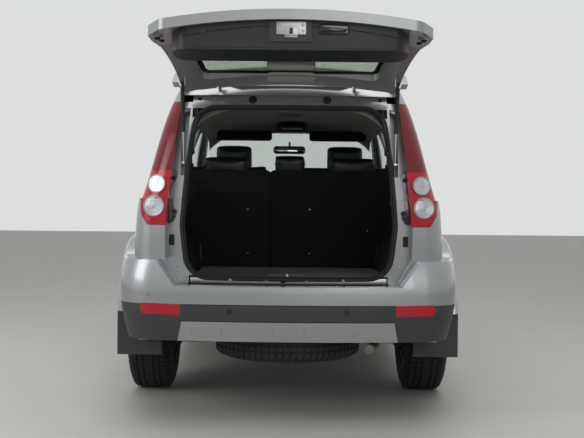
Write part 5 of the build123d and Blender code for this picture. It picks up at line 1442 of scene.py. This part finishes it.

# Rubbing strips along the doors, sill covers, and the fuel flap's shut line as a thin dark tube: painted
# shade in the gap.
strips = {"door_front": (1.040, 1.985), "door_rear": (0.600, 0.985)}
stripSection = rounded([(-0.024, -0.003), (0.024, -0.003), (0.020, 0.0065), (-0.020, 0.0065)], 0.0025, 4)
for door, ends in strips.items():
    stations = np.linspace(*ends, 18)
    path = skinPath(door + "_right", np.stack([stations, 0 * stations + 0.705], 1))
    strip = carried(path, stripSection[:, ::-1], (0, 0, 1))
    addPiece(door + "StripRight", strip, "grainedPolypropylene", door + "_right")
    addPiece(door + "StripLeft", mirror(strip), "grainedPolypropylene", door + "_left")
y, z = np.meshgrid(np.linspace(0.560, 2.080, 40), np.linspace(0.338, 0.418, 7), indexing="ij")
skin = skinAt("body_side_right", placed(0, y.ravel(), z.ravel()), (-1, 0, 0))[:, :3]
swell = 0.0030 * np.sqrt(np.clip(1 - ((z - 0.378) / 0.0401) ** 2, 0, 1)) - 0.0006
sill = skin.reshape(40, 7, 3) + np.stack([swell, 0 * y, 0 * y], -1)
addPiece("sillCovers", grid(sill), "grainedPolypropylene", mirrored=True)
flap = rounded(boxed((-0.395, -0.245, 0.900, 1.030)), 0.024, 7)
# painted shade: the flap is not cut from the side; a dark tube a little proud of the paint stands for the
# shade in its shut line
flapGapShade = carried(skinPath("body_side_right", flap, -0.0004), circle(0.0017, 6), (1, 0, 0), True)
addPiece("fuelFlapGapShade", flapGapShade, "extrudedRubber")
print("sides trimmed")

# Nose: reflectors in the headlamps, a bright strip over the grille, fog lamps.
nose = {"lamps": [(0.480, 0.800, 0.050), (0.590, 0.800, 0.044)], "fog": (0.570, 0.475), "fogStation": 3.405,
        "stripHeight": 0.866}


def onNose(shape, node, x, z):
    # a shape made round y = 0, facing the nose (its front towards +y), goes to a node's front skin
    spot = skinAt(node, (x, 0, z), (0, -1, 0))[0]
    return moved(shape, (0, spot[1], 0))


bowls, beads = [], []
for x, z, radius in nose["lamps"]:
    bowl = lathe([(radius, -0.006), (radius * 0.98, -0.010), (radius * 0.80, -0.034), (radius * 0.42, -0.052),
                  (radius * 0.20, -0.056), (0.0, -0.056)], (x, 0, z), "y", 40)
    bulb = lathe([(0, -0.018), (radius * 0.24, -0.020), (radius * 0.30, -0.028), (radius * 0.22, -0.050)],
                 (x, 0, z), "y", 28)
    bezel = lathe([(radius * 1.02, -0.004), (radius * 1.10, -0.003), (radius * 1.16, -0.008),
                   (radius * 1.04, -0.014)], (x, 0, z), "y", 40)
    bowls += [onNose(bowl, "headlamps", x, z), onNose(bulb, "headlamps", x, z)]
    beads.append(onNose(bezel, "headlamps", x, z))
addPiece("headlampBowls", bowls, "silveredReflector", mirrored=True)
addPiece("headlampBezels", beads, "chromePlate", mirrored=True)
stations = np.linspace(-0.390, 0.390, 40)
path = skinAt("grille", placed(stations, 0, nose["stripHeight"]), (0, -1, 0))[:, :3]
addPiece("grilleStrip", carried(path, circle(1.0, 10) * [0.0075, 0.0045], (0, 1, 0)), "chromePlate")
x, z = nose["fog"]
fogLens = lathe([(0, 0.012), (0.020, 0.011), (0.034, 0.004), (0.036, 0.0)], (x, nose["fogStation"], z), "y",
                32)
fogBowl = lathe([(0.038, 0.002), (0.034, -0.010), (0.020, -0.024), (0, -0.028)], (x, nose["fogStation"], z),
                "y", 32)
fogFrame = plate([(0.515, 0.432), (0.630, 0.432), (0.630, 0.516), (0.520, 0.516)], 0.018, 3.372, 3.384, "xzy",
                 0.003)
addPiece("fogLenses", fogLens, "clearMouldedLens", mirrored=True)
addPiece("fogBowls", fogBowl, "silveredReflector", mirrored=True)
addPiece("fogFrames", fogFrame, "grainedPolypropylene", mirrored=True)

# Wipers rest along the foot of the windscreen: an arm and a rubber blade.
arms, blades = [], []
for pivot, tip in ((-0.520, 0.030), (0.060, 0.560)):
    stations = np.linspace(pivot, tip, 14)
    lift = np.linspace(2.075, 2.010, 14)
    path = skinAt("fixed_glass", placed(stations, lift, 0), (0, 0, -1))[:, :3]
    blades.append(carried(path + [0, 0, 0.004], circle(1.0, 8) * [0.0030, 0.0042], (0, 0, 1)))
    arms.append(tube(path[:9] + np.array([0, 0.010, 0.012]), 0.0045, (0, 0, 1)))
addPiece("wiperArms", arms, "dippedBlackPaint")
addPiece("wiperBlades", blades, "extrudedRubber")
print("nose dressed")

# Underneath: coil springs round the dampers, tank straps.
spring = {"turns": 7, "steps": 28, "wire": 0.0065}
springs = []
for x, y, radius, low, high in ((0.560, 2.700, 0.047, 0.300, 0.560), (0.530, 0.060, 0.050, 0.296, 0.556)):
    # a helix: the radius turns at an even rate while the height rises evenly
    turn = np.linspace(0, spring["turns"] * 2 * math.pi, spring["turns"] * spring["steps"])
    path = placed(x + radius * np.cos(turn), y + radius * np.sin(turn), np.linspace(low, high, len(turn)))
    springs.append(tube(path, spring["wire"], (0, 0, 1), 8))
addPiece("coilSprings", springs, "silverPaintedPlastic", mirrored=True)
straps = []
strapSection = bar(0.014, 0.001, 0.0008, 2)[:, ::-1]
for y in (0.300, 0.860):
    strap = np.array([(-0.3425, y, 0.440), (-0.3425, y, 0.275), (-0.335, y, 0.2675), (0.0725, y, 0.2675),
                      (0.0825, y, 0.275), (0.0825, y, 0.440)])
    straps.append(carried(strap, strapSection, (0, 1, 0)))
addPiece("tankStraps", straps, "zincPlatedSteel")
print("underside dressed")

# Stage: a pale floor and a pale world that the camera and mirrors see as near white, and soft lamps.
stage = {"floorColour": "#C9C8C2", "worldColour": "#E4E6E6", "worldStrength": 0.46, "seen": 0.93,
         "floorSize": 60.0}
floorMaterial = bpy.data.materials.new("paleFloor")
floorMaterial.use_nodes = True
floorTree = floorMaterial.node_tree
floorShader = floorTree.nodes["Principled BSDF"]
floorPlace = addNode(floorTree, "TexCoord").outputs["Object"]
floorNoise = addNode(floorTree, "TexNoise", {"Scale": 3.0, "Detail": 4.0},
                     {"Vector": floorPlace}).outputs["Fac"]
floorMix = addNode(floorTree, "Mix",
                   {"data_type": "RGBA", 6: linear("#BFBEB8"), 7: linear(stage["floorColour"])},
                   {0: floorNoise})
floorTree.links.new(floorMix.outputs[2], floorShader.inputs["Base Color"])
floorShader.inputs["Roughness"].default_value = 0.55
floorMesh = bpy.data.meshes.new("floor")
half = stage["floorSize"] / 2
floorMesh.from_pydata([(-half, -half, 0), (half, -half, 0), (half, half, 0), (-half, half, 0)], [],
                      [(0, 1, 2, 3)])
floorMesh.materials.append(floorMaterial)
floor = bpy.data.objects.new("floor", floorMesh)
bpy.context.scene.collection.objects.link(floor)

world = bpy.data.worlds.new("world")
bpy.context.scene.world = world
world.use_nodes = True
worldTree = world.node_tree
worldTree.nodes.clear()
path = addNode(worldTree, "LightPath")
seen = addNode(worldTree, "Math", {"operation": "MAXIMUM"},
               {0: path.outputs["Is Camera Ray"], 1: path.outputs["Is Transmission Ray"]})
seen = addNode(worldTree, "Math", {"operation": "MAXIMUM"},
               {0: seen.outputs[0], 1: path.outputs["Is Glossy Ray"]})
strength = addNode(worldTree, "MapRange", {3: stage["worldStrength"], 4: stage["seen"]}, {0: seen.outputs[0]})
sky = addNode(worldTree, "Background", {"Color": linear(stage["worldColour"])},
              {"Strength": strength.outputs[0]})
addNode(worldTree, "OutputWorld", None, {"Surface": sky.outputs[0]})

lamps = [
    # name, place, size (m), watts, target
    ("overheadLamp", (0.0, -1.0, 5.2), 5.0, 150, (0, 0, 0.8)),
    ("leftLamp", (-5.0, -3.5, 3.0), 3.0, 95, (0, 0, 0.8)),
    ("rearFillLamp", (1.5, -7.5, 2.6), 3.0, 62, (0, 0, 0.9)),
]
for name, place, size, watts, target in lamps:
    data = bpy.data.lights.new(name, "AREA")
    data.size = size
    data.energy = watts
    lamp = bpy.data.objects.new(name, data)
    bpy.context.scene.collection.objects.link(lamp)
    lamp.location = (place[0], place[1] + axleY, place[2])
    aim = np.array(target) - np.array(place)
    turn = math.atan2(aim[0], aim[1])
    tilt = math.atan2(math.hypot(aim[0], aim[1]), -aim[2])
    lamp.rotation_euler = (tilt, 0, -turn)
bpy.context.scene.view_settings.view_transform = "Standard"
print("stage lit")
